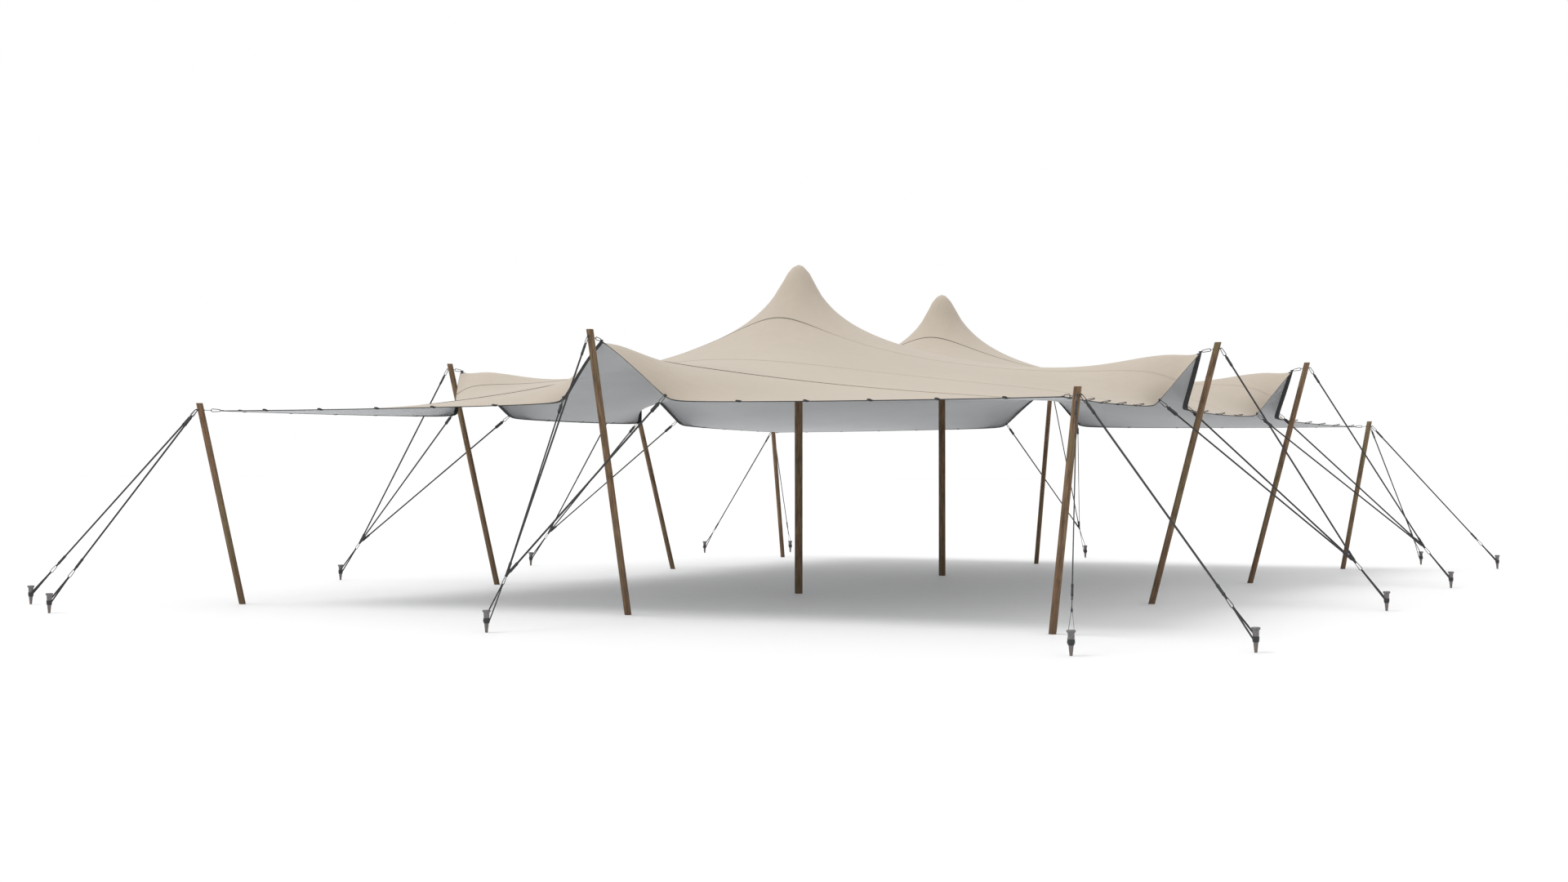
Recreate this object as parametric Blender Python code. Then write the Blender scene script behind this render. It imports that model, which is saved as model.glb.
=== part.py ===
"""Stretch tent: round timber posts, a form-found fabric canopy, webbing stays and steel stakes.

Metres, +Z up. The origin is at the middle of the footprint, on the ground. +X runs from the left
side to the right side, +Y from the front end to the far end.
"""
import math

import bmesh
import bpy
import numpy as np
from mathutils import Matrix, Vector

# Sheet: the flat fabric before it is stretched
SHEET_WIDTH = 10.5
SHEET_LENGTH = 15.0
SHEET_THICKNESS = 0.010
ROW_ALONG = SHEET_LENGTH / 6.0
SEAM_PLACES = (-5.75, -4.4, -3.03, -1.78, -0.53, 0.72, 1.97, 3.22, 4.47, 5.72)
LINE_SPACING_LEAST = 0.12

# Post positions, measured from the middle of the tent
BAY_HALF = 2.43
SIDE_TOP = 5.32
END_TOP = 7.42
CORNER_TOP = (5.26, 7.41)
CORNER_FOOT = (4.90, 7.08)
SIDE_LEAN = 0.785
SIDE_POST_HEIGHT = 3.01
CORNER_POST_HEIGHT = 2.32
POST_RADIUS = 0.0375
POST_SIDES = 16
CENTRE_POST_RADIUS = 0.050
CENTRE_POST_SIDES = 20
POST_CHAMFER = 0.004

# Canopy edge
HEM_APEX_Z = 2.91
HEM_LOW_Z = 2.262
HEM_CORNER_Z = 2.235
HEM_CORNER = (5.075, 7.26)
SIDE_APEX_INSET = 0.190
SIDE_LOW_INSET = 0.550
END_APEX_INSET = 0.225
END_LOW_INSET = 0.500
HEM_RISE_HALF = 0.65
HEM_RISE_SOFTNESS = 0.12
HEM_RISE_BOW = 0.055
HEM_BOW_IN = 0.06
HEM_BOW_DOWN = 0.01
HEM_LOW_STEP = 0.875

# Canopy peaks and the stiff ridges from the side posts
PEAK_Z = 4.135
PEAK_PATCH_RADIUS = 0.18
PEAK_CURVE = 5.5
CAP_HEIGHT = 0.092
CAP_RADIUS = 0.075
CAP_SLOPE = 1.02
CAP_EDGE = 0.004
CAP_RINGS = (1.0, 0.7, 0.4, 0.12)
RIDGE_STIFFNESS = 30.0
RIDGE_WIDTH = 0.20
RIDGE_REACH = 1.3
SAG_LOAD = 0.036

# Fold over each ridge: its height, and how far in from the hem it is highest
SIDE_FOLD = (0.115, 0.55)
END_FOLD = (0.085, 0.33)
FOLD_WIDTH = 0.42

# Stakes, and the webbing band round each stake's neck
SIDE_STAKE_REACH = 1.86
CORNER_STAKES = ((5.765, 9.165), (7.075, 8.18))
STAKE_PROFILE = ((0.0128, 0.0), (0.0215, 0.083), (0.0265, 0.139), (0.0285, 0.188),
                 (0.0390, 0.198), (0.0390, 0.216))
STAKE_SIDES = 12
BAND_BOTTOM = 0.088
BAND_TOP = 0.137
BAND_THICKNESS = 0.004
LEG_THICKNESS = 0.006
LEG_STAND_OFF = 0.0015
LEG_SPREAD = 0.0035
LEG_IN_LINK = 0.012
KNOT_SIZE = (0.021, 0.017, 0.0245)
KNOT_BELOW_LINK = 0.006

# Links, straps and their adjusters
LINK_LENGTH = 0.110
LINK_WIRE = 0.0036
LINK_WIRE_SIDES = 5
LINK_SMALL_END = 0.0115
LINK_LARGE_END = 0.0160
STRAP_WIDTH = 0.020
STRAP_THICKNESS = 0.007
STRAP_IN_LINK = 0.004
STRAP_LOW_TAIL = 0.006
STRAP_HIGH_TAIL = 0.008
ADJUSTER_WIDTH = 0.030
ADJUSTER_THICKNESS = 0.014
ADJUSTER_LENGTH = 0.130
LOW_ADJUSTER = 0.024
HIGH_ADJUSTER = 0.015
FAN_ADJUSTER = 0.045
FAN_ADJUSTER_STEP = 0.011
JUNCTION_SIZE = (0.034, 0.031, 0.033)
JUNCTION_BELOW_START = 0.0075
SIDE_LINK_X = 0.300
SIDE_LINK_Z = 0.485
CORNER_LINK_DISTANCE = 0.400

# Staples and pins on the outer posts
EYE_HEIGHT_SIDE = 2.935
EYE_HEIGHT_CORNER = 2.24
STAPLE_WIRE = 0.0035
STAPLE_WIRE_SIDES = 6
STAPLE_STAND_OFF = 0.016
STAPLE_HALF_WIDTH = 0.011
STAPLE_LEG = 0.030
STAPLE_BEND = 0.004
PIN_THICKNESS = 0.008
PIN_IN_LINK = 0.012

# Gaps between pieces that touch
TOUCH_GAP = 0.0005
HOOK_GAP = 0.0009

# Form-finding grid
GRID_ACROSS = 84
GRID_ALONG = 120
RELAX_PASSES = 500
OVER_RELAXATION = 1.9

UP = Vector((0.0, 0.0, 1.0))
SIDEWAYS = Vector((0.0, 1.0, 0.0))


def clear_scene():
    for item in list(bpy.data.objects):
        bpy.data.objects.remove(item, do_unlink=True)


def make_material(name, colour, roughness, metallic):
    material = bpy.data.materials.new(name)
    material.use_nodes = True
    shader = material.node_tree.nodes["Principled BSDF"]
    shader.inputs["Base Color"].default_value = (*colour, 1.0)
    shader.inputs["Roughness"].default_value = roughness
    shader.inputs["Metallic"].default_value = metallic
    material.diffuse_color = (*colour, 1.0)
    return material


def mesh_from(name, verts, faces):
    mesh = bpy.data.meshes.new(name)
    mesh.from_pydata([tuple(v) for v in verts], [], faces)
    mesh.validate()
    work = bmesh.new()
    work.from_mesh(mesh)
    bmesh.ops.recalc_face_normals(work, faces=work.faces)
    work.to_mesh(mesh)
    work.free()
    return mesh


def place(name, mesh, material, location=(0.0, 0.0, 0.0), heading=0.0, smooth_angle=None):
    if not mesh.materials:
        mesh.materials.append(material)
    if smooth_angle is not None:
        mesh.shade_smooth()
        mesh.set_sharp_from_angle(angle=math.radians(smooth_angle))
    item = bpy.data.objects.new(name, mesh)
    item.location = location
    item.rotation_euler = (0.0, 0.0, heading)
    bpy.context.scene.collection.objects.link(item)
    return item


def fuse(name, pieces):
    """One closed mesh from overlapping closed meshes."""
    helpers = []
    for index, mesh in enumerate(pieces):
        helper = bpy.data.objects.new(f"{name}_piece_{index}", mesh)
        bpy.context.scene.collection.objects.link(helper)
        helpers.append(helper)
    base = helpers[0]
    for helper in helpers[1:]:
        union = base.modifiers.new("union", "BOOLEAN")
        union.operation = "UNION"
        union.solver = "EXACT"
        union.object = helper
    bpy.context.view_layer.update()
    graph = bpy.context.evaluated_depsgraph_get()
    result = bpy.data.meshes.new_from_object(base.evaluated_get(graph))
    result.name = name
    for helper in helpers:
        bpy.data.objects.remove(helper, do_unlink=True)
    return result


def ring_faces(rings, sides, closed_path):
    """Side faces of a tube whose rings follow each other in one vertex list."""
    faces = []
    count = rings if closed_path else rings - 1
    for i in range(count):
        j = (i + 1) % rings
        for k in range(sides):
            n = (k + 1) % sides
            faces.append((i * sides + k, i * sides + n, j * sides + n, j * sides + k))
    if not closed_path:
        faces.append(tuple(range(sides)))
        faces.append(tuple((rings - 1) * sides + k for k in range(sides)))
    return faces


def turned(name, profile, sides, closed_profile):
    """A piece turned about Z from (radius, level) pairs."""
    verts = []
    for radius, level in profile:
        for k in range(sides):
            turn = 2.0 * math.pi * k / sides
            verts.append((radius * math.cos(turn), radius * math.sin(turn), level))
    return mesh_from(name, verts, ring_faces(len(profile), sides, closed_profile))


def wire(name, path, radius, sides, plane_normal, closed_path):
    """A round wire bent in one plane along a path of points."""
    path = [Vector(p) for p in path]
    normal = Vector(plane_normal).normalized()
    verts = []
    for i, point in enumerate(path):
        before = path[i - 1] if (closed_path or i > 0) else point
        after = path[(i + 1) % len(path)] if (closed_path or i < len(path) - 1) else point
        entry = (point - before).normalized()
        leave = (after - point).normalized()
        tangent = (entry + leave).normalized()
        mitre = 1.0
        if entry.length > 0 and leave.length > 0:
            mitre = 1.0 / tangent.dot(leave)
        outward = tangent.cross(normal).normalized()
        for k in range(sides):
            turn = 2.0 * math.pi * k / sides
            across = outward * (radius * mitre * math.cos(turn))
            verts.append(point + across + normal * (radius * math.sin(turn)))
    return mesh_from(name, verts, ring_faces(len(path), sides, closed_path))


def bar(name, start, end, width_axis, width, thickness):
    """A flat bar between two points; the width lies along width_axis."""
    start = Vector(start)
    end = Vector(end)
    along = (end - start).normalized()
    side = Vector(width_axis)
    side = (side - along * side.dot(along)).normalized()
    face = along.cross(side)
    verts = []
    for centre in (start, end):
        for a, b in ((-1, -1), (1, -1), (1, 1), (-1, 1)):
            verts.append(centre + side * (a * width / 2) + face * (b * thickness / 2))
    faces = [(0, 1, 2, 3), (4, 5, 6, 7), (0, 1, 5, 4), (1, 2, 6, 5), (2, 3, 7, 6), (3, 0, 4, 7)]
    return mesh_from(name, verts, faces)


def half_circle(centre, across, along, radius, steps=4):
    """Points of a half circle that starts at centre + across and bulges along."""
    points = []
    for step in range(steps + 1):
        turn = math.pi * step / steps
        points.append(centre + across * (radius * math.cos(turn)) + along * (radius * math.sin(turn)))
    return points


def link(name, tip, direction, plane_normal, tip_radius=LINK_SMALL_END, far_radius=LINK_LARGE_END):
    """A pear-shaped wire link whose outermost point is tip, running along direction."""
    tip = Vector(tip)
    along = Vector(direction).normalized()
    across = along.cross(Vector(plane_normal)).normalized()
    first = tip + along * (tip_radius + LINK_WIRE)
    last = tip + along * (LINK_LENGTH - far_radius - LINK_WIRE)
    path = half_circle(first, across, -along, tip_radius)
    path += half_circle(last, -across, along, far_radius)
    return wire(name, path, LINK_WIRE, LINK_WIRE_SIDES, plane_normal, True)


# Canopy surface


def soft_rise(distance):
    """1 at a side post, falling in a slight outward bow to 0 at the low point of the hem."""
    def ease(value):
        return 0.5 * (value + np.sqrt(value * value + HEM_RISE_SOFTNESS ** 2))
    share = np.clip(distance / HEM_RISE_HALF, 0.0, 1.0)
    bow = 4.0 * HEM_RISE_BOW * share * (1.0 - share)
    return ease(1.0 - distance / HEM_RISE_HALF) / ease(1.0) + bow


def hem_side(half_length, top_line, insets, posts, corner_out, samples=4000):
    """Points (along, out, up) of one hem, with a peak at each post and a corner at each end."""
    apex_inset, low_inset = insets
    along = np.linspace(-half_length, half_length, samples + 1)
    low_out = top_line - low_inset
    near = np.min(np.abs(along[:, None] - np.array(posts)[None, :]), axis=1)
    rise = soft_rise(near)
    out = low_out + (low_inset - apex_inset) * rise
    up = HEM_LOW_Z + (HEM_APEX_Z - HEM_LOW_Z) * rise
    stops = [-half_length]
    for post in posts:
        stops += [post - HEM_RISE_HALF, post + HEM_RISE_HALF]
    stops.append(half_length)
    for start, end in zip(stops[0::2], stops[1::2]):
        inside = (along >= start) & (along <= end)
        part = (along[inside] - start) / (end - start)
        bow = 4.0 * part * (1.0 - part)
        corner = np.zeros_like(part)
        if start == -half_length:
            corner += 1.0 - part
        if end == half_length:
            corner += part
        out[inside] += (corner_out - low_out) * corner - HEM_BOW_IN * bow
        up[inside] += (HEM_CORNER_Z - HEM_LOW_Z) * corner - HEM_BOW_DOWN * bow
    return np.stack([along, out, up], 1)


def even_steps(points, stops, counts):
    """Resample a curve so that each stretch between two stops has evenly spaced points."""
    result = []
    for index, count in enumerate(counts):
        low = int(np.argmin(np.abs(points[:, 0] - stops[index])))
        high = int(np.argmin(np.abs(points[:, 0] - stops[index + 1])))
        stretch = points[low:high + 1]
        length = np.r_[0.0, np.cumsum(np.linalg.norm(np.diff(stretch, axis=0), axis=1))]
        wanted = np.linspace(0.0, length[-1], count + 1)
        even = np.stack([np.interp(wanted, length, stretch[:, axis]) for axis in range(3)], 1)
        result.append(even if index == len(counts) - 1 else even[:-1])
    return np.concatenate(result)


def hem_frame():
    """Grid with the four hems on its border and a smooth blend of them inside."""
    across, along = GRID_ACROSS, GRID_ALONG
    width, length = HEM_CORNER
    end = hem_side(width, END_TOP, (END_APEX_INSET, END_LOW_INSET), [0.0], length)
    end = even_steps(end, [-width, 0.0, width], [across // 2] * 2)
    side = hem_side(length, SIDE_TOP, (SIDE_APEX_INSET, SIDE_LOW_INSET), [-BAY_HALF, BAY_HALF], width)
    side = even_steps(side, [-length, -BAY_HALF, BAY_HALF, length], [along // 3] * 3)
    net = np.zeros((across + 1, along + 1, 3))
    net[:, 0] = np.stack([end[:, 0], -end[:, 1], end[:, 2]], 1)
    net[:, -1] = end
    net[-1] = np.stack([side[:, 1], side[:, 0], side[:, 2]], 1)
    net[0] = np.stack([-side[:, 1], side[:, 0], side[:, 2]], 1)
    u = np.linspace(0.0, 1.0, across + 1)[:, None, None]
    v = np.linspace(0.0, 1.0, along + 1)[None, :, None]
    blend = net[:, :1] * (1 - v) + net[:, -1:] * v + net[:1] * (1 - u) + net[-1:] * u
    blend -= (1 - u) * (1 - v) * net[0, 0] + u * (1 - v) * net[-1, 0]
    blend -= (1 - u) * v * net[0, -1] + u * v * net[-1, -1]
    net[1:-1, 1:-1] = blend[1:-1, 1:-1]
    return net


def fabric_pull(flat_u, flat_v):
    """Pull between neighbouring grid points, raised along the line from each side post."""
    stiff_u = np.exp(-((np.abs(flat_v) - ROW_ALONG) / RIDGE_WIDTH) ** 2)
    stiff_u = stiff_u * np.exp(-((SHEET_WIDTH / 2 - np.abs(flat_u)) / RIDGE_REACH) ** 2)
    stiff_v = np.exp(-(flat_u / RIDGE_WIDTH) ** 2)
    stiff_v = stiff_v * np.exp(-((SHEET_LENGTH / 2 - np.abs(flat_v)) / RIDGE_REACH) ** 2)
    pull_u = 1 + RIDGE_STIFFNESS * 0.5 * (stiff_u[1:] + stiff_u[:-1])
    pull_v = 1 + RIDGE_STIFFNESS * 0.5 * (stiff_v[:, 1:] + stiff_v[:, :-1])
    return pull_u * (GRID_ACROSS / SHEET_WIDTH) ** 2, pull_v * (GRID_ALONG / SHEET_LENGTH) ** 2


def raise_folds(net):
    """Lift the folds that run inward from the side posts; the hems stay where they are."""
    inner = net[1:-1, 1:-1]
    rise = np.zeros(inner.shape[:2])
    for axis, post, (lift, place) in ((0, BAY_HALF, SIDE_FOLD), (1, 0.0, END_FOLD)):
        across = (np.abs(inner[..., 1 - axis]) - post) / FOLD_WIDTH
        for end in (0, -1):
            hem = net[end, 1:-1][None] if axis == 0 else net[1:-1, end][:, None]
            inward = np.abs(inner[..., axis] - hem[..., axis]) / place
            rise += lift * (inward * np.exp(1.0 - inward)) ** 2 * np.exp(-across ** 2)
    inner[..., 2] += rise


def canopy_net():
    """Form-found canopy: grid points [across, along, xyz] of the stretched sheet."""
    net = hem_frame()
    shape = net.shape[:2]
    flat_u = np.broadcast_to(np.linspace(-0.5, 0.5, shape[0])[:, None] * SHEET_WIDTH, shape)
    flat_v = np.broadcast_to(np.linspace(-0.5, 0.5, shape[1])[None, :] * SHEET_LENGTH, shape)
    fixed = np.zeros(shape, bool)
    for sign in (-1.0, 1.0):
        radius = np.hypot(flat_u, flat_v - sign * ROW_ALONG)
        cap = radius < PEAK_PATCH_RADIUS
        fixed |= cap
        net[cap, 0] = flat_u[cap]
        net[cap, 1] = flat_v[cap] + sign * (BAY_HALF - ROW_ALONG)
        net[cap, 2] = PEAK_Z - PEAK_CURVE * radius[cap] ** 2

    pull_u, pull_v = fabric_pull(flat_u, flat_v)
    west, east = pull_u[:-1, 1:-1, None], pull_u[1:, 1:-1, None]
    south, north = pull_v[1:-1, :-1, None], pull_v[1:-1, 1:, None]
    total = west + east + south + north
    row, column = np.indices(shape)
    inner = net[1:-1, 1:-1]
    for _ in range(RELAX_PASSES):
        for parity in (0, 1):
            free = ((row + column) % 2 == parity) & ~fixed
            free = free[1:-1, 1:-1]
            mean = west * net[:-2, 1:-1] + east * net[2:, 1:-1]
            mean += south * net[1:-1, :-2] + north * net[1:-1, 2:]
            mean /= total
            mean[..., 2:] -= SAG_LOAD / total
            inner[free] += OVER_RELAXATION * (mean[free] - inner[free])
    raise_folds(net)
    return net


def sample_net(net, u_lines, v_lines):
    """Points of the net at chosen distances on the flat sheet."""
    across, along = net.shape[0] - 1, net.shape[1] - 1
    fu = (np.array(u_lines) / SHEET_WIDTH + 0.5) * across
    fv = (np.array(v_lines) / SHEET_LENGTH + 0.5) * along
    iu = np.clip(np.floor(fu + 1e-9).astype(int), 0, across - 1)
    iv = np.clip(np.floor(fv + 1e-9).astype(int), 0, along - 1)
    tu = (fu - iu)[:, None, None]
    tv = (fv - iv)[None, :, None]
    low = net[iu][:, iv] * (1 - tv) + net[iu][:, iv + 1] * tv
    high = net[iu + 1][:, iv] * (1 - tv) + net[iu + 1][:, iv + 1] * tv
    return low * (1 - tu) + high * tu


def graded_lines():
    """Grid lines on the flat sheet: close together at posts, peaks and low points, and on each seam."""
    near_peak = [0.0, 0.0625, 0.125, 0.28, ROW_ALONG - SEAM_PLACES[6], HEM_LOW_STEP]
    across = near_peak + [1.35, 1.9, 2.5, 3.1, 3.7, 4.25, 4.75, 5.05, SHEET_WIDTH / 2]
    across = sorted({-value for value in across} | set(across))
    half = [0.0, 0.6, 1.1, 3.9, 4.4, 5.0, 5.4, 6.2, 6.7, 7.1, SHEET_LENGTH / 2]
    for value in near_peak:
        half += [ROW_ALONG - value, ROW_ALONG + value]
    along = set(SEAM_PLACES)
    for value in half:
        for line in (-round(value, 4), round(value, 4)):
            if min(abs(line - seam) for seam in SEAM_PLACES) > LINE_SPACING_LEAST:
                along.add(line)
    return across, sorted(along)


def grid_normals(points):
    step_u = np.gradient(points, axis=0)
    step_v = np.gradient(points, axis=1)
    normals = np.cross(step_u, step_v)
    return normals / np.linalg.norm(normals, axis=2, keepdims=True)


def seam_push(border, lean):
    """Half the gap at a seam, within the surface and square to the seam, towards the back."""
    back = np.cross(lean, np.gradient(border, axis=0))
    return back / np.linalg.norm(back, axis=1, keepdims=True) * TOUCH_GAP / 2


def canopy_strip(name, points, normals, first, last, material):
    """One fabric width of the canopy, between two grid lines across the sheet."""
    part = points[:, first:last + 1].copy()
    lean = normals[:, first:last + 1]
    if first > 0:
        part[:, 0] += seam_push(part[:, 0], lean[:, 0])
    if last < points.shape[1] - 1:
        part[:, -1] -= seam_push(part[:, -1], lean[:, -1])
    rows, columns = part.shape[:2]
    top = (part + lean * SHEET_THICKNESS / 2).reshape(-1, 3)
    bottom = (part - lean * SHEET_THICKNESS / 2).reshape(-1, 3)
    count = rows * columns
    faces = []
    middle = part.reshape(-1, 3)
    for i in range(rows - 1):
        for j in range(columns - 1):
            a = i * columns + j
            b, c, d = a + columns, a + columns + 1, a + 1
            # both faces of the sheet split along the same, shorter diagonal
            if np.linalg.norm(middle[a] - middle[c]) <= np.linalg.norm(middle[b] - middle[d]):
                halves = ((a, b, c), (a, c, d))
            else:
                halves = ((a, b, d), (b, c, d))
            for half in halves:
                faces.append(half)
                faces.append(tuple(count + v for v in reversed(half)))
    rim = [i * columns for i in range(rows)]
    rim += [(rows - 1) * columns + j for j in range(1, columns)]
    rim += [i * columns + columns - 1 for i in range(rows - 2, -1, -1)]
    rim += [j for j in range(columns - 2, 0, -1)]
    for pair in zip(rim, rim[1:] + rim[:1]):
        # both widths at a seam split their rim along the same diagonal
        low, high = sorted(pair)
        faces += [(low, high, count + high), (low, count + high, count + low)]
    mesh = mesh_from(name, np.concatenate([top, bottom]), faces)
    return place(name, mesh, material, smooth_angle=40)


# Posts


def round_post(name, height, lean, radius, sides):
    """A round post cut level at both ends; it leans along local +X."""
    tilt = math.atan2(lean, height)
    stretch = 1.0 / math.cos(tilt)
    rings = ((0.0, radius - POST_CHAMFER), (POST_CHAMFER, radius), (height - POST_CHAMFER, radius),
             (height, radius - POST_CHAMFER))
    verts = []
    for level, ring_radius in rings:
        shift = lean * level / height
        for k in range(sides):
            turn = 2.0 * math.pi * k / sides
            out = ring_radius * stretch * math.cos(turn)
            verts.append((shift + out, ring_radius * math.sin(turn), level))
    return mesh_from(name, verts, ring_faces(len(rings), sides, False))


def staple(name, bar_centre, inward):
    """A wire staple standing out of a post; its bar is level and square to inward."""
    centre = Vector(bar_centre)
    inward = Vector(inward).normalized()
    side = UP.cross(inward).normalized()
    path = []
    for sign in (-1.0, 1.0):
        leg = centre + side * (sign * STAPLE_HALF_WIDTH)
        run = [leg + inward * STAPLE_LEG, leg + inward * STAPLE_BEND, leg - side * (sign * STAPLE_BEND)]
        path += run if sign < 0 else run[::-1]
    return wire(name, path, STAPLE_WIRE, STAPLE_WIRE_SIDES, UP, False)


def post_axis_at(height, foot, top, top_height):
    share = height / top_height
    return Vector((foot[0] + (top[0] - foot[0]) * share, foot[1] + (top[1] - foot[1]) * share, height))


def eye_bar(height, foot, top, top_height, direction):
    """Centre of a staple's bar on the side of a leaning post that faces direction."""
    axis = post_axis_at(height, foot, top, top_height)
    flat = Vector((direction[0], direction[1], 0.0)).normalized()
    return axis + flat * (POST_RADIUS + STAPLE_STAND_OFF)


def outer_post(name, foot, top, top_height, eye_height, stay_directions, hem_point, material):
    """A leaning post with a staple for each stay and a link to the canopy's edge."""
    lean = Vector((top[0] - foot[0], top[1] - foot[1], 0.0))
    heading = math.atan2(lean.y, lean.x)
    base = Vector((foot[0], foot[1], 0.0))
    to_local = Matrix.Rotation(-heading, 4, "Z") @ Matrix.Translation(-base)
    pieces = [round_post(name + "_shaft", top_height, lean.length, POST_RADIUS, POST_SIDES)]
    turn = to_local.to_3x3()
    for direction in stay_directions:
        centre = eye_bar(eye_height, foot, top, top_height, direction)
        flat = Vector((direction[0], direction[1], 0.0))
        pieces.append(staple(name + "_staple", to_local @ centre, turn @ -flat))
    axis = post_axis_at(eye_height, foot, top, top_height)
    hem = Vector(hem_point)
    outward = (axis - hem).normalized()
    tip = hem + outward * TOUCH_GAP
    level = turn @ UP.cross(outward)
    pieces.append(link(name + "_link", to_local @ tip, turn @ outward, level))
    pin_start = to_local @ (tip + outward * (LINK_LENGTH - PIN_IN_LINK))
    pieces.append(bar(name + "_pin", pin_start, to_local @ axis, level, PIN_THICKNESS, PIN_THICKNESS))
    mesh = fuse(name, pieces)
    return place(name, mesh, material, base, heading, smooth_angle=35)


def centre_post(name, y, material):
    height = PEAK_Z - SHEET_THICKNESS / 2 - CAP_HEIGHT
    mesh = round_post(name, height, 0.0, CENTRE_POST_RADIUS, CENTRE_POST_SIDES)
    return place(name, mesh, material, (0.0, y, 0.0), smooth_angle=35)


def peak_cap(name, y, material):
    """Turned wooden head that spreads the canopy over a centre post."""
    top = PEAK_Z - SHEET_THICKNESS / 2 - TOUCH_GAP
    seat = PEAK_Z - SHEET_THICKNESS / 2 - CAP_HEIGHT + TOUCH_GAP
    profile = [(CAP_RADIUS - CAP_EDGE, 0.0)]
    for share in CAP_RINGS:
        radius = CAP_RADIUS * share
        profile.append((radius, top - CAP_SLOPE * radius - seat))
    mesh = turned(name, profile, CENTRE_POST_SIDES, False)
    return place(name, mesh, material, (0.0, y, seat), smooth_angle=40)


# Stakes and stays


def set_stake(name, mesh, stake, eye, material):
    """Stake turned to face its post, so that its facets lie against those of the webbing ring."""
    heading = math.atan2(eye[1] - stake[1], eye[0] - stake[0])
    place(name, mesh, material, (stake[0], stake[1], 0.0), heading, smooth_angle=35)


def stake_radius(level):
    for (r0, z0), (r1, z1) in zip(STAKE_PROFILE, STAKE_PROFILE[1:]):
        if z0 <= level <= z1:
            return r0 + (r1 - r0) * (level - z0) / (z1 - z0)
    return STAKE_PROFILE[-1][0]


def neck_band(name):
    """Webbing ring round the neck of a stake, clear of it all round."""
    outer = stake_radius(BAND_TOP) + BAND_THICKNESS
    profile = [(stake_radius(level) + TOUCH_GAP, level) for level in (BAND_BOTTOM, BAND_TOP)]
    profile += [(outer, BAND_TOP), (outer, BAND_BOTTOM)]
    return turned(name, profile, STAKE_SIDES, True)


def block(name, start, direction, size):
    """A block that begins at start; size is its length, its width and its depth."""
    return bar(name, start, start + direction * size[0], SIDEWAYS, size[1], size[2])


def ground_loop(name, link_tip, direction):
    """Band round the stake, two webbing legs and the link above them, in the stay's own frame."""
    spread = stake_radius(BAND_TOP) + BAND_THICKNESS + LEG_STAND_OFF
    pieces = [neck_band(name + "_band")]
    for sign in (-1.0, 1.0):
        start = Vector((0.0, sign * spread, (BAND_BOTTOM + BAND_TOP) / 2))
        end = link_tip + direction * LEG_IN_LINK + SIDEWAYS * (sign * LEG_SPREAD)
        pieces.append(bar(name + "_leg", start, end, direction.cross(SIDEWAYS), STRAP_WIDTH, LEG_THICKNESS))
    pieces.append(block(name + "_knot", link_tip - direction * KNOT_BELOW_LINK, direction, KNOT_SIZE))
    pieces.append(link(name + "_low_link", link_tip, direction, SIDEWAYS, LINK_LARGE_END, LINK_SMALL_END))
    return pieces


def strap_run(name, start, far_tip, normal, first_adjuster=LOW_ADJUSTER):
    """Strap with an adjuster near each end, then a link whose far end is at far_tip."""
    along = (far_tip - start).normalized()
    end = far_tip - along * (LINK_LENGTH - STRAP_IN_LINK)
    low, high = start - along * STRAP_LOW_TAIL, end + along * STRAP_HIGH_TAIL
    pieces = [bar(name + "_strap", low, high, normal, STRAP_THICKNESS, STRAP_WIDTH)]
    for distance in (first_adjuster, (end - start).length - ADJUSTER_LENGTH - HIGH_ADJUSTER):
        low = start + along * distance
        high = low + along * ADJUSTER_LENGTH
        pieces.append(bar(name + "_adjuster", low, high, normal, ADJUSTER_THICKNESS, ADJUSTER_WIDTH))
    pieces.append(link(name + "_link", far_tip, -along, normal))
    return pieces


def hooked_tip(bar_centre, direction):
    """Outermost point of a link that hangs on a staple's bar and pulls along direction."""
    arc_centre = bar_centre + direction * (LINK_SMALL_END - LINK_WIRE - STAPLE_WIRE - HOOK_GAP)
    return arc_centre - direction * (LINK_SMALL_END + LINK_WIRE)


def stay_frame(stake, target):
    """Matrix from world to a frame at the stake's tip whose +X points level towards target."""
    heading = math.atan2(target[1] - stake[1], target[0] - stake[0])
    base = Vector((stake[0], stake[1], 0.0))
    return Matrix.Rotation(-heading, 4, "Z") @ Matrix.Translation(-base), heading, base


def corner_stay(name, stake, eye, material):
    """A stay from a stake straight up to a corner post."""
    to_local, heading, base = stay_frame(stake, eye)
    hook = to_local @ Vector(eye)
    neck = Vector((0.0, 0.0, (BAND_BOTTOM + BAND_TOP) / 2))
    along = (hook - neck).normalized()
    low_tip = neck + along * (CORNER_LINK_DISTANCE - LINK_LENGTH / 2)
    pieces = ground_loop(name, low_tip, along)
    start = low_tip + along * (LINK_LENGTH - STRAP_IN_LINK)
    pieces += strap_run(name, start, hooked_tip(hook, -along), SIDEWAYS)
    return place(name, fuse(name, pieces), material, base, heading, smooth_angle=35)


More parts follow.
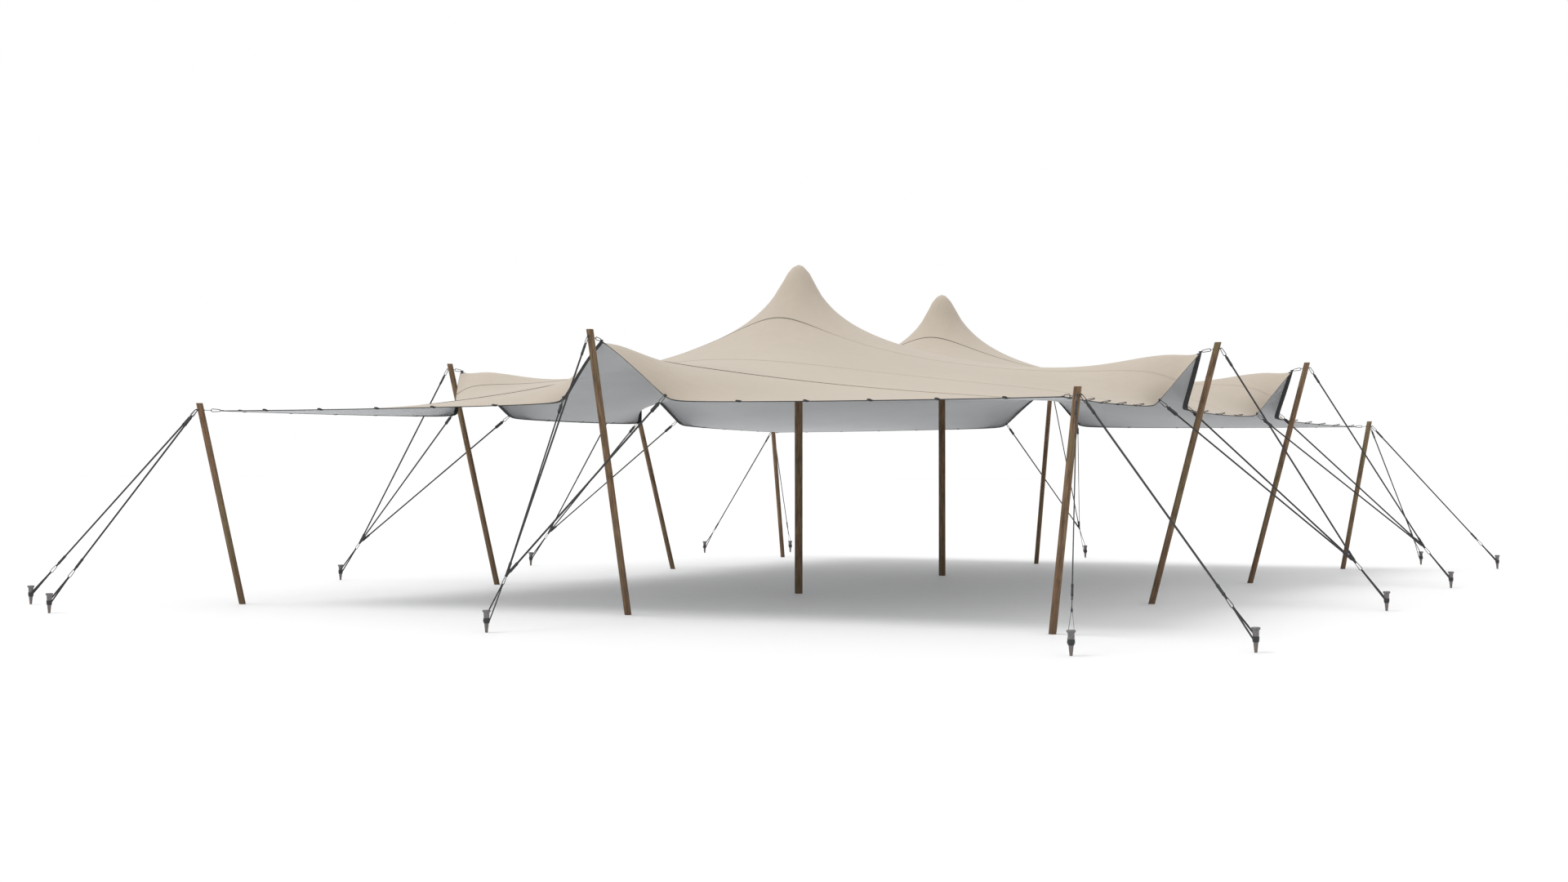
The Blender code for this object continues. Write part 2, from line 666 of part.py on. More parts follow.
def side_stay(name, stake, eye, hem_points, material):
    """Three straps that fan out from one link: to the post's head and to both low points."""
    to_local, heading, base = stay_frame(stake, eye)
    hook = to_local @ Vector(eye)
    neck = Vector((0.0, 0.0, (BAND_BOTTOM + BAND_TOP) / 2))
    centre = Vector((SIDE_LINK_X, 0.0, SIDE_LINK_Z))
    along = (centre - neck).normalized()
    low_tip = centre - along * (LINK_LENGTH / 2)
    pieces = ground_loop(name, low_tip, along)
    start = low_tip + along * (LINK_LENGTH - STRAP_IN_LINK)
    pieces.append(block(name + "_junction", start - along * JUNCTION_BELOW_START, along, JUNCTION_SIZE))
    upward = (hook - start).normalized()
    pieces += strap_run(name + "_post", start, hooked_tip(hook, -upward), SIDEWAYS)
    for index, point in enumerate(hem_points):
        target = to_local @ Vector(point)
        pull = (target - start).normalized()
        first_adjuster = FAN_ADJUSTER + FAN_ADJUSTER_STEP * index
        pieces += strap_run(f"{name}_hem_{index}", start, target - pull * TOUCH_GAP, UP.cross(pull),
                            first_adjuster)
    return place(name, fuse(name, pieces), material, base, heading, smooth_angle=35)


def main():
    clear_scene()
    fabric = make_material("canopy_fabric", (0.61, 0.55, 0.46), 0.75, 0.0)
    timber = make_material("post_timber", (0.16, 0.10, 0.055), 0.7, 0.0)
    webbing = make_material("stay_webbing", (0.09, 0.09, 0.09), 0.8, 0.0)
    steel = make_material("stake_steel", (0.22, 0.22, 0.22), 0.45, 0.8)
    cap_wood = make_material("cap_wood", (0.20, 0.13, 0.07), 0.6, 0.0)

    net = canopy_net()
    across, along = graded_lines()
    points = sample_net(net, across, along)
    normals = grid_normals(points)
    cuts = [0] + [along.index(seam) for seam in SEAM_PLACES] + [len(along) - 1]
    for index, (first, last_line) in enumerate(zip(cuts, cuts[1:])):
        canopy_strip(f"canopy_width_{index + 1:02d}", points, normals, first, last_line, fabric)

    middle = across.index(0.0)
    west_low, east_low = across.index(-HEM_LOW_STEP), across.index(HEM_LOW_STEP)
    last = len(along) - 1
    places = {
        "front": ((0.0, -END_TOP), (0.0, -1.0), (middle, 0), ((west_low, 0), (east_low, 0))),
        "back": ((0.0, END_TOP), (0.0, 1.0), (middle, last), ((east_low, last), (west_low, last))),
    }
    for side, column, sign in (("left", 0, -1.0), ("right", len(across) - 1, 1.0)):
        for row, row_sign in (("front", -1.0), ("back", 1.0)):
            row_at = row_sign * ROW_ALONG
            lows = [(column, along.index(row_at + step)) for step in (-HEM_LOW_STEP, HEM_LOW_STEP)]
            places[f"{side}_{row}"] = ((sign * SIDE_TOP, row_sign * BAY_HALF), (sign, 0.0),
                                       (column, along.index(row_at)), lows)
    stake_shape = turned("stake", STAKE_PROFILE, STAKE_SIDES, False)
    for label, (top, outward, apex, lows) in places.items():
        foot = (top[0] - outward[0] * SIDE_LEAN, top[1] - outward[1] * SIDE_LEAN)
        outer_post(f"post_side_{label}", foot, top, SIDE_POST_HEIGHT, EYE_HEIGHT_SIDE, [outward],
                   points[apex], timber)
        eye = eye_bar(EYE_HEIGHT_SIDE, foot, top, SIDE_POST_HEIGHT, outward)
        stake = (top[0] + outward[0] * SIDE_STAKE_REACH, top[1] + outward[1] * SIDE_STAKE_REACH)
        hem_points = [points[low] - normals[low] * SHEET_THICKNESS / 2 for low in lows]
        side_stay(f"stay_side_{label}", stake, eye, hem_points, webbing)
        set_stake(f"stake_side_{label}", stake_shape, stake, eye, steel)

    for end, y_sign in (("front", -1.0), ("back", 1.0)):
        for side, x_sign in (("left", -1.0), ("right", 1.0)):
            label = f"{end}_{side}"
            top = (CORNER_TOP[0] * x_sign, CORNER_TOP[1] * y_sign)
            foot = (CORNER_FOOT[0] * x_sign, CORNER_FOOT[1] * y_sign)
            stakes = [(x * x_sign, y * y_sign) for x, y in CORNER_STAKES]
            directions = [(x - top[0], y - top[1]) for x, y in stakes]
            hem = points[0 if x_sign < 0 else -1, 0 if y_sign < 0 else -1]
            outer_post(f"post_corner_{label}", foot, top, CORNER_POST_HEIGHT, EYE_HEIGHT_CORNER,
                       [Vector((*d, 0.0)).normalized()[:2] for d in directions], hem, timber)
            for letter, stake, direction in zip("ab", stakes, directions):
                eye = eye_bar(EYE_HEIGHT_CORNER, foot, top, CORNER_POST_HEIGHT, direction)
                corner_stay(f"stay_corner_{label}_{letter}", stake, eye, webbing)
                set_stake(f"stake_corner_{label}_{letter}", stake_shape, stake, eye, steel)

    for row, sign in (("front", -1.0), ("back", 1.0)):
        centre_post(f"post_centre_{row}", sign * BAY_HALF, timber)
        peak_cap(f"cap_{row}", sign * BAY_HALF, cap_wood)


main()
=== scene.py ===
"""Stretch tent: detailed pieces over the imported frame, with their floor, light and camera.

Metres, +Z up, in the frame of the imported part: +X to the right side, +Y to the back end.
"""
import collections
import functools
import math

import bmesh
import bpy
import numpy as np
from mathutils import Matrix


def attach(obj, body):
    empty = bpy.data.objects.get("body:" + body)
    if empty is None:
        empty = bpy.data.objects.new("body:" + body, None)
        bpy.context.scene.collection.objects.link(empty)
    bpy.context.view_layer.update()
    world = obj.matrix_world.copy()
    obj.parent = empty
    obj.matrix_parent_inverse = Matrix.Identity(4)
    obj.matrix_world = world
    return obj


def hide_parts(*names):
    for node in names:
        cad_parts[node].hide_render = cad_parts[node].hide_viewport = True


bl_info = {
    "name": "Stretch tent",
    "version": (1, 0, 0),
    "blender": (4, 5, 0),
    "location": "3D View > Sidebar > Tent",
    "description": "Makes the canopy, timber, webbing and steel pieces of a stretch tent",
    "category": "Object",
}

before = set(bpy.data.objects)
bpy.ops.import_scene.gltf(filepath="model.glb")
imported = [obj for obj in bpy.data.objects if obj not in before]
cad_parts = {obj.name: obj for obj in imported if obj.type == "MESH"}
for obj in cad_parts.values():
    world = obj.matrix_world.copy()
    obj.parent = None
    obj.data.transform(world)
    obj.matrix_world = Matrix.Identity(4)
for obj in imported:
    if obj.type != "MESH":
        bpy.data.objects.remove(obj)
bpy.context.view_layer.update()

# The flat sheet and the lines sewn across it
SHEET = np.array([10.5, 15.0])
ROW_ALONG = SHEET[1] / 6.0
SEAM_PLACES = (-5.75, -4.4, -3.03, -1.78, -0.53, 0.72, 1.97, 3.22, 4.47, 5.72)

# Seams whose tape carries a dark painted shadow: width, rise, and where the painted shadow pales
# into the sheet's colour, measured from the left edge
SHADOWED_SEAMS = {-5.75: (2.0, 0.0030, (4.8, 9.6)), -3.03: (1.1, 0.0, (5.4, 6.15)),
               1.97: (1.25, 0.0, (6.2, 6.9)), 4.47: (1.0, 0.0, (6.2, 6.9))}
# Where the other tapes' fainter painted shade pales into the sheet's colour, measured from the left
# edge
FAINT_SHADE_FADE = (5.6, 7.4)
SEAM_STITCHES = (0.0018, 0.0078)

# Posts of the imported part
BAY_HALF = 2.43
SIDE_TOP = 5.32
END_TOP = 7.42
CORNER_TOP = (5.26, 7.41)
CORNER_FOOT = (4.90, 7.08)
SIDE_LEAN = 0.785
SIDE_POST_HEIGHT = 3.01
CORNER_POST_HEIGHT = 2.32
POST_RADIUS = 0.0375
CENTRE_POST_RADIUS = 0.050
CAP_HEIGHT = 0.092
POST_RINGS = 56
POST_SLIM = 0.992
POST_UNEVEN = 0.006
GRAIN_STEP = 5.3

# Knots on each post: how many, their width (radians), height and rise (share of the radius)
KNOTS = 5
KNOT_WIDTH = 0.34
KNOT_HEIGHT = 0.022
KNOT_RISE = 0.05

# A post's cut end as (distance from the end, share of the radius)
POST_END = [(0.0, 0.12), (0.0, 0.45), (0.0, 0.78), (0.0, 0.93), (0.0012, 0.975), (0.004, 1.0)]

Post = collections.namedtuple("Post", "label foot top height eye stakes hem side place")

# The timber's noises: shares round it and down it, scale, detail and roughness
TIMBER_NOISES = ((1.0, 0.045, 85.0, 5.0, 0.62), (1.0, 0.02, 420.0, 3.0, 0.6),
                 (1.6, 0.5, 7.0, 3.0, 0.6), (3.0, 0.5, 2.6, 3.0, 0.6),
                 (1.0, 0.012, 150.0, 2.0, 0.5))

# Axis across each hem and the sign of its side; signs of the rows
HEMS = {"front": (1, -1.0), "back": (1, 1.0), "left": (0, -1.0), "right": (0, 1.0)}
ROWS = {"front": -1.0, "back": 1.0}

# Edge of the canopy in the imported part
HEM_APEX_Z = 2.91
HEM_LOW_Z = 2.262
HEM_CORNER_Z = 2.235
HEM_CORNER = (5.075, 7.26)
SIDE_INSETS = (0.190, 0.550)
END_INSETS = (0.225, 0.500)
HEM_RISE_HALF = 0.65
HEM_RISE_SOFTNESS = 0.12
HEM_RISE_BOW = 0.055
HEM_BOW_IN = 0.06
HEM_BOW_DOWN = 0.01
HEM_LOW_STEP = 0.875

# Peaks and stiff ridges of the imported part
PEAK_Z = 4.135
PEAK_PATCH_RADIUS = 0.18
PEAK_CURVE = 5.5
PEAK_KEPT_RADIUS = 0.45
RIDGE_STIFFNESS = 30.0
RIDGE_WIDTH = 0.20
RIDGE_REACH = 1.3
SAG_LOAD = 0.036
SIDE_FOLD = (0.115, 0.55)
END_FOLD = (0.085, 0.33)
FOLD_WIDTH = 0.42
PACKED_SKIN = 0.010

# Grids on which the canopy settles, first coarse and then fine
COARSE_GRID = (84, 120)
FINE_GRID = (168, 240)
COARSE_PASSES = 500
FINE_PASSES = 220
OVER_RELAXATION = 1.9

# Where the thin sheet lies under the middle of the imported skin
SHEET_TOP = -0.0015
SHEET_UNDER = -0.0045
TAPE_UNDER = -0.0025
CANOPY_SHARP = 60.0

# The canopy's bake map: half span of each face, and how far its rim stands out of it
BAKE_SPAN = (0.244, 0.494)
BAKE_RIM = 1.004

# Growth of the hem's underside band against the distance from a post on the flat sheet
BAND_GROWTH = ((0.0, 0.12, 0.45, 1.00, 1.35), (0.7, 0.85, 1.0, 1.0, 0.0))
BAND_THICKNESS = (0.0019, 0.0005)
BAND_SHARP = 50.0

# Where the hem's cord and lip grow from slim to full, counted from a post, and its stitches
HEM_SLIM = (0.7, 0.95)
HEM_STITCHES = (0.008, 0.036, 0.044)

# Tabs on the hem, measured on the flat sheet from a post
TABS_TO_CORNER = (1.74, 2.51, 3.22, 3.95, 4.66)
TABS_BETWEEN_POSTS = (-0.81, 0.0, 0.81)
END_TAB_REACH = 0.5
TAB_LIFT = 0.19
TAB_FOLD = 0.0048
TAB_THICKNESS = 0.0055

# A tab's root, edge and stem: distances from the hem, and heights of its two layers there
TAB_ROOT = 0.034
TAB_EDGE = 0.008
TAB_STEM = 0.010
TAB_ABOVE = (0.0008, 0.0020, 0.0060)
TAB_BELOW = (0.0070, 0.0098, 0.0085)

# Sewn patches: half width, depth, and share of the width left at the inner end
POST_PATCH = (0.075, 0.15, 0.12)
LOW_POINT_PATCH = (0.020, 0.030, 0.6)
CORNER_PATCH = 0.13

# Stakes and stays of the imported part
SIDE_STAKE_REACH = 1.86
CORNER_STAKES = ((5.765, 9.165), (7.075, 8.18))

# A stake's outline as (radius, height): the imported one, the forged one, and its hammer marks
STAKE_PROFILE = ((0.0128, 0.0), (0.0215, 0.083), (0.0265, 0.139), (0.0285, 0.188),
                 (0.0390, 0.198), (0.0390, 0.216))
FORGED_PROFILE = ((0.004, 0.0), (0.0122, 0.0), (0.0130, 0.0012), (0.0172, 0.042),
                  (0.0215, 0.083), (0.0240, 0.112), (0.0262, 0.138), (0.0275, 0.165),
                  (0.0285, 0.186), (0.0300, 0.1895), (0.0372, 0.1965), (0.0390, 0.1995),
                  (0.0392, 0.2060), (0.0388, 0.2120), (0.0368, 0.2150), (0.0300, 0.2160),
                  (0.0200, 0.2156), (0.0060, 0.2158))
STAKE_HAMMERED = 0.008
STAKE_MOST = 1.012
STAKE_HEAD_Z = 0.19
STAKE_SHARP = 42.0

# A stay's ground band, links and adjusters, from the stake up
BAND_BOTTOM = 0.088
BAND_TOP = 0.137
LINK_LENGTH = 0.110
LINK_WIRE = 0.0036
LINK_SMALL_END = 0.0115
LINK_LARGE_END = 0.0160
STRAP_IN_LINK = 0.004
LOW_ADJUSTER = 0.024
HIGH_ADJUSTER = 0.015
FAN_ADJUSTER = 0.045
FAN_ADJUSTER_STEP = 0.011
FAN_ADJUSTER_BULK = 1.35
ADJUSTER_SECTION = (0.032, 0.023)
KEEPER_THICKNESS = 0.0022

# Swell of a sewn sleeve of webbing against the distance from its start
SLEEVE_SWELL = ((0.0, 0.70), (0.03, 0.88), (0.10, 0.92), (0.14, 0.92), (0.15, 1.0), (0.21, 1.0),
                (0.22, 0.90), (0.5, 0.90), (0.78, 0.90), (0.79, 1.0), (0.85, 1.0), (0.86, 0.92),
                (0.90, 0.92), (0.97, 0.88), (1.0, 0.70))

# A stay's legs, the knot over them, the sewn block over its straps, and a post loop's keeper
LEG_THICKNESS = 0.0026
KNOT_BACK = 0.030
KNOT_SIZE = (0.0245, 0.019, 0.0245)
STRAP_BLOCK = (-0.0060, 0.0265, 0.031)
POST_KEEPER = (0.034, 0.006, 0.020, 0.014)
POST_LOOP_WIDTH = 0.0128
LOW_LOOP_WIDTH = 0.013
STRAP_EASE = 0.035

# Stitches on the straps, and where their links hang in front of a stake
STRAP_STITCHES = (0.002, 0.018)
SIDE_LINK_X = 0.300
SIDE_LINK_Z = 0.485
CORNER_LINK_DISTANCE = 0.400

# Staples and eye bolts on the posts
EYE_HEIGHT_SIDE = 2.935
EYE_HEIGHT_CORNER = 2.24
STAPLE_WIRE = 0.0035
STAPLE_STAND_OFF = 0.016
STAPLE_HALF_WIDTH = 0.011
STAPLE_LEG = 0.030
STAPLE_BEND = 0.004
RING_WIRE = 0.0030
RING_RADIUS = 0.0085
RING_OPENS = 330
ROD_DEPTH = 0.004
WASHER_OUT = 0.0035
WASHER_PROFILE = ((0.003, 0.0), (0.011, 0.0), (0.012, 0.0008), (0.012, 0.0022), (0.011, 0.003),
                  (0.003, 0.006))
TOUCH_GAP = 0.0005
HOOK_GAP = 0.0009

# Stage and the photograph's camera
FLOOR_HALF = 300.0
FLOOR_Z = -0.0008
KEY_TURN = (30.0, 0.0, -62.0)
CAMERA_PLACE = (11.0756, -25.4060, 1.5423)
CAMERA_TURN = (90.837, 0.0, 26.150)
CAMERA_LENS = 46.58
CAMERA_REACH = 1000.0

UP = np.array([0.0, 0.0, 1.0])


# Properties


def length(name, description, default):
    return bpy.props.FloatProperty(
        name=name, description=description, default=default, min=0.0, precision=4, unit="LENGTH")


def share(name, description, default, most=1.0):
    return bpy.props.FloatProperty(
        name=name, description=description, default=default, min=0.0, max=most, subtype="FACTOR")


def colour(name, description, default):
    return bpy.props.FloatVectorProperty(
        name=name, description=description, default=default, size=3, min=0.0, max=1.0,
        subtype="COLOR")


class TENT_PG_canopy(bpy.types.PropertyGroup):
    top_colour: colour("Top", "Colour of the sheet's upper face", (0.443, 0.385, 0.315))
    under_colour: colour("Underside", "Colour of the coated lower face", (0.52, 0.53, 0.54))
    # The seam tapes' tones are painted shade of the raised seams: very dark on a few seams, lighter
    # on the rest
    seam_shadow_colour: colour("Seam", "Colour of the tape over the clear seams", (0.085, 0.070, 0.056))
    faint_shade_colour: colour("Faint seam", "Colour of the other tapes", (0.325, 0.280, 0.226))
    seam_width: length("Seam width", "Width of the tape over each seam", 0.0096)


class TENT_PG_hem(bpy.types.PropertyGroup):
    webbing_colour: colour("Webbing", "Colour of the hem's webbing", (0.052, 0.052, 0.054))
    bead: length("Bead", "Radius of the cord inside the hem", 0.0050)
    lip: length("Lip", "Width of the hem on top of the sheet", 0.008)
    wide_band: length("Wide band", "Width of the hem's underside beside a post", 0.057)
    narrow_band: length("Narrow band", "Width of the hem's underside elsewhere", 0.019)
    tab_width: length("Tab width", "Width of the webbing tabs", 0.030)
    tab_reach: length("Tab reach", "How far a tab stands out of the hem", 0.080)


class TENT_PG_posts(bpy.types.PropertyGroup):
    light_wood: colour("Light wood", "Colour of the timber's light grain", (0.250, 0.160, 0.092))
    dark_wood: colour("Dark wood", "Colour of the timber's dark grain", (0.070, 0.041, 0.023))
    weathering: share("Weathering", "How much of the timber is grey or green", 0.45)
    steel_colour: colour("Steel", "Colour of staples, eye bolts and links", (0.085, 0.085, 0.088))


class TENT_PG_stays(bpy.types.PropertyGroup):
    webbing_colour: colour("Webbing", "Colour of the straps", (0.048, 0.048, 0.050))
    strap_width: length("Strap width", "Width of the straps", 0.019)
    strap_thickness: length("Strap thickness", "Thickness of one layer of webbing", 0.0052)
    adjuster_length: length("Adjuster length", "Length of the sewn adjusters", 0.130)


class TENT_PG_stakes(bpy.types.PropertyGroup):
    metal_colour: colour("Metal", "Colour of the forged stakes", (0.19, 0.19, 0.195))
    rust_colour: colour("Rust", "Colour of the rust on them", (0.15, 0.075, 0.04))


class TENT_PG_stage(bpy.types.PropertyGroup):
    floor_colour: colour("Floor", "Colour of the floor", (0.80, 0.80, 0.80))
    sky_strength: share("Sky", "Strength of the even light from all round", 1.0, 4.0)
    key_strength: share("Key", "Strength of the soft key light", 1.3, 10.0)
    key_width: bpy.props.FloatProperty(
        name="Key width", description="Apparent width of the key light", default=0.6,
        min=0.0, subtype="ANGLE")


class TENT_PG_all(bpy.types.PropertyGroup):
    canopy: bpy.props.PointerProperty(type=TENT_PG_canopy)
    hem: bpy.props.PointerProperty(type=TENT_PG_hem)
    posts: bpy.props.PointerProperty(type=TENT_PG_posts)
    stays: bpy.props.PointerProperty(type=TENT_PG_stays)
    stakes: bpy.props.PointerProperty(type=TENT_PG_stakes)
    stage: bpy.props.PointerProperty(type=TENT_PG_stage)


# Shaders


class Wired:
    """A socket that can stand in sums; each operation adds its Math node to the material."""

    def __init__(self, finish, socket):
        self.finish = finish
        self.socket = socket

    def sum_of(self, operation, *others):
        terms = dict(enumerate((self, *others)))
        return self.finish.node("ShaderNodeMath", {"operation": operation}, terms)

    __add__ = __radd__ = functools.partialmethod(sum_of, "ADD")
    __mul__ = __rmul__ = functools.partialmethod(sum_of, "MULTIPLY")
    __sub__ = functools.partialmethod(sum_of, "SUBTRACT")
    __pow__ = functools.partialmethod(sum_of, "POWER")
    __abs__ = functools.partialmethod(sum_of, "ABSOLUTE")
    least = functools.partialmethod(sum_of, "MINIMUM")

    def __rsub__(self, other):
        return self * -1.0 + other

    def wave(self, period):
        """A sine from -1 to 1 that repeats every period."""
        return (self * (2.0 * math.pi / period)).sum_of("SINE")


class Finish:
    """One material while its nodes are laid out."""

    def __init__(self, name, roughness, constants=None):
        self.material = bpy.data.materials.new(name)
        self.material.use_nodes = True
        self.tree = self.material.node_tree
        self.shader = self.tree.nodes["Principled BSDF"]
        self.shader.inputs["Roughness"].default_value = roughness
        for socket, value in (constants or {}).items():
            self.shader.inputs[socket].default_value = value

    def feed(self, socket, value):
        if isinstance(value, Wired):
            self.tree.links.new(value.socket, socket)
        else:
            socket.default_value = value

    def node(self, kind, settings=None, values=None, output=0):
        made = self.tree.nodes.new(kind)
        for key, value in (settings or {}).items():
            setattr(made, key, value)
        for key, value in (values or {}).items():
            self.feed(made.inputs[key], value)
        return Wired(self, made.outputs[output])

    def lay(self):
        """Distances across and along the cloth or timber, stored with the piece."""
        return self.node("ShaderNodeAttribute", {"attribute_name": "lay"}, output=1)

    def place(self):
        return self.node("ShaderNodeTexCoord", output=3)

    def scaled(self, vector, by):
        return self.node("ShaderNodeVectorMath", {"operation": "MULTIPLY"}, {0: vector, 1: by})

    def parts(self, vector):
        split = self.node("ShaderNodeSeparateXYZ", None, {0: vector}).socket.node
        return [Wired(self, socket) for socket in split.outputs]

    def noise(self, vector, scale, detail=3.0, roughness=0.55):
        values = {"Vector": vector, "Scale": scale, "Detail": detail, "Roughness": roughness}
        return self.node("ShaderNodeTexNoise", None, values)

    def step(self, value, low, high):
        """0 below low and 1 above high, smooth between; falls if low is above high."""
        values = {"Value": value, "From Min": low, "From Max": high}
        return self.node("ShaderNodeMapRange", {"interpolation_type": "SMOOTHSTEP"}, values)

    def mix(self, factor, first, second):
        values = {0: factor, 6: self.tone(first), 7: self.tone(second)}
        return self.node("ShaderNodeMix", {"data_type": "RGBA"}, values, 2)

    def tone(self, value):
        return value if isinstance(value, Wired) else (*value, 1.0)

    def bump(self, height):
        values = {"Height": height, "Distance": 1.0, "Strength": 1.0}
        return self.node("ShaderNodeBump", None, values)

    def done(self, colour, roughness, height=None, metallic=None):
        values = {"Base Color": colour, "Roughness": roughness, "Metallic": metallic}
        if height is not None:
            values["Normal"] = self.bump(height)
        for socket, value in values.items():
            if value is not None:
                self.feed(self.shader.inputs[socket], value)
        return self.material


def darker(tone, by):
    return tuple(value * by for value in tone)


def canopy_top_finish(tone):
    """Matt knitted stretch fabric with a soft dusty mottling, slight puckers at the seams, and
    painted shade of the puckers darkening the sheet beside each seam.
    """
    finish = Finish("canopy_top", 0.85, {"Sheen Weight": 0.15, "Specular IOR Level": 0.25})
    lay = finish.lay()
    clouds = finish.noise(lay, 0.45, 3.0)
    dust = finish.noise(lay, 7.0, 5.0, 0.65)
    shade = clouds * 0.6 + dust * 0.4
    base = finish.mix(finish.step(shade, 0.36, 0.64), darker(tone, 0.965), darker(tone, 1.03))
    across, along, _ = finish.parts(lay)
    gaps = [abs(along - place) for place in SEAM_PLACES]
    gap = functools.reduce(Wired.least, gaps)
    near_seam = finish.step(gap, 0.045, 0.006)
    # Painted shade: the sheet is darkened beside each seam, where its puckers would be shaded
    base = finish.mix(near_seam * 0.14, base, darker(tone, 0.72))
    knit = across.wave(0.005) * along.wave(0.004)
    pucker = finish.noise(finish.scaled(lay, (30.0, 4.0, 1.0)), 1.0, 2.0) * near_seam
    height = knit * 0.00012 + pucker * 0.0012 + dust * 0.0004
    return finish.done(base, 0.80 + dust * 0.12, height)


def canopy_under_finish(tone):
    """Grey coated underside, smoother than the top, with faint cloudy wear."""
    finish = Finish("canopy_underside", 0.6, {"Specular IOR Level": 0.3})
    lay = finish.lay()
    clouds = finish.noise(lay, 0.5, 4.0)
    specks = finish.noise(lay, 45.0, 2.0)
    base = finish.mix(finish.step(clouds * 0.8 + specks * 0.2, 0.35, 0.65),
                      darker(tone, 0.95), darker(tone, 1.05))
    across, along, _ = finish.parts(lay)
    knit = across.wave(0.005) * along.wave(0.004)
    return finish.done(base, 0.55 + specks * 0.15, knit * 0.0001 + specks * 0.0002)


def webbing_finish(name, tone, stitch_rows, far_tone=None, fade=None):
    """Woven webbing: ribs, a twill slant, sewn rows of lighter thread and rubbed patches."""
    finish = Finish(name, 0.8, {"Sheen Weight": 0.05, "Specular IOR Level": 0.2})
    lay = finish.lay()
    across, along, _ = finish.parts(lay)
    twill = (across + along * 0.6).wave(0.0032)
    ribs = along.wave(0.0022)
    rubbed = finish.noise(lay, 26.0, 4.0, 0.6)
    weave = twill * 0.6 + ribs * 0.4
    base = finish.mix(weave * 0.5 + 0.5, darker(tone, 0.80), darker(tone, 1.18))
    if fade:
        # On the seam tapes this pales the tape's painted shade into far_tone along its length
        base = finish.mix(finish.step(along, *fade), base, far_tone)
    base = finish.mix(finish.step(rubbed, 0.52, 0.74) * 0.2, base, darker(tone, 1.7))
    rows = [finish.step(abs(across - place), 0.0010, 0.0005) for place in stitch_rows]
    stitch = functools.reduce(Wired.__add__, rows) * finish.step(along.wave(0.0065), 0.0, 0.25)
    base = finish.mix(stitch * 0.4, base, darker(tone, 2.2))
    return finish.done(base, 0.72 + rubbed * 0.2, weave * 0.00022 + stitch * 0.0004)


def seam_finish(name, tone, far_tone, fade):
    """Sewn tape over a seam, with a row of stitches along each edge; its tone is painted shade of
    the raised seam, paling into far_tone at its right end.
    """
    return webbing_finish(name, tone, SEAM_STITCHES, far_tone, fade)


def bright_steel_finish(tone):
    """Darkened steel wire and bar with a fine grain and small dull spots."""
    finish = Finish("bright_steel", 0.45, {"Metallic": 0.6, "Specular IOR Level": 0.3})
    place = finish.place()
    spots = finish.noise(place, 160.0, 3.0, 0.6)
    grain = finish.noise(place, 900.0, 2.0)
    base = finish.mix(finish.step(spots, 0.45, 0.7), tone, darker(tone, 0.62))
    return finish.done(base, 0.34 + spots * 0.3, spots * 0.00025 + grain * 0.00006)


def stake_finish(tone, rust):
    """Dull forged steel: hammer dimples, scale and some rust low down."""
    finish = Finish("forged_stake", 0.55)
    place = finish.place()
    dents = finish.noise(place, 70.0, 2.0)
    scale = finish.noise(place, 320.0, 4.0, 0.65)
    _, _, height = finish.parts(place)
    rusty = finish.step(scale * 0.6 + dents * 0.4 - height * 0.5, 0.40, 0.52)
    base = finish.mix(finish.step(dents, 0.3, 0.7), darker(tone, 0.78), darker(tone, 1.2))
    base = finish.mix(rusty * 0.55, base, rust)
    return finish.done(base, 0.42 + scale * 0.25 + rusty * 0.2, dents * 0.0011 + scale * 0.0003,
                       0.85 - rusty * 0.7)


def timber_nodes(finish, grain_at, light, dark, weathering):
    """Colour, roughness and height of weathered round timber whose grain runs along Z."""
    long_grain, fibres, patches, tint, cracks = (
        finish.noise(finish.scaled(grain_at, (round_it, round_it, down_it)), *noise)
        for round_it, down_it, *noise in TIMBER_NOISES)
    split = finish.step(abs(cracks - 0.5), 0.016, 0.003) * finish.step(patches, 0.48, 0.62)
    grain = long_grain * 0.65 + fibres * 0.35
    base = finish.mix(finish.step(grain, 0.34, 0.66), dark, light)
    green, red = (tuple(value * by for value, by in zip(light, shares))
                  for shares in ((0.62, 0.86, 0.70), (1.02, 0.70, 0.55)))
    base = finish.mix(finish.step(tint, 0.50, 0.68) * weathering, base, green)
    base = finish.mix(finish.step(tint, 0.44, 0.28) * weathering * 0.9, base, red)
    base = finish.mix(finish.step(patches, 0.46, 0.30) * 0.55, base, darker(dark, 0.85))
    base = finish.mix(split * 0.85, base, darker(dark, 0.3))
    height = grain * 0.0010 - split * 0.0016 + patches * 0.0008
    return base, 0.62 + grain * 0.25, height


def timber_finish(light, dark, weathering):
    """Weathered timber, darker towards the bottom, with growth rings on its cut ends."""
    finish = Finish("post_timber_grain", 0.75, {"Specular IOR Level": 0.3})
    base, roughness, height = timber_nodes(finish, finish.lay(), light, dark, weathering)
    across, along, _ = finish.parts(finish.lay())
    rings = ((across ** 2.0 + along ** 2.0) ** 0.5).wave(0.0036)
    # Darker towards the bottom: full below 0.05 m, gone above 0.95 m
    low_darkening = finish.step(finish.parts(finish.place())[2], 0.95, 0.05)
    base = finish.mix(low_darkening * 0.45, base, darker(dark, 1.1))
    return finish.done(base, roughness, height + rings * 0.0002)


def cap_finish(light, dark):
    """Turned head of the same timber, rubbed smooth by the sheet."""
    finish = Finish("turned_cap", 0.5)
    place = finish.place()
    base, roughness, height = timber_nodes(finish, place, light, dark, 0.2)
    lathe = finish.parts(place)[2].wave(0.0021)
    return finish.done(base, roughness - 0.18, height * 0.5 + lathe * 0.0001)


def floor_finish(tone):
    finish = Finish("studio_floor", 0.6, {"Specular IOR Level": 0.2})
    cloud = finish.noise(finish.place(), 0.15, 2.0)
    base = finish.mix(cloud, darker(tone, 0.99), darker(tone, 1.01))
    return finish.done(base, 0.58 + cloud * 0.06)


# Mesh making


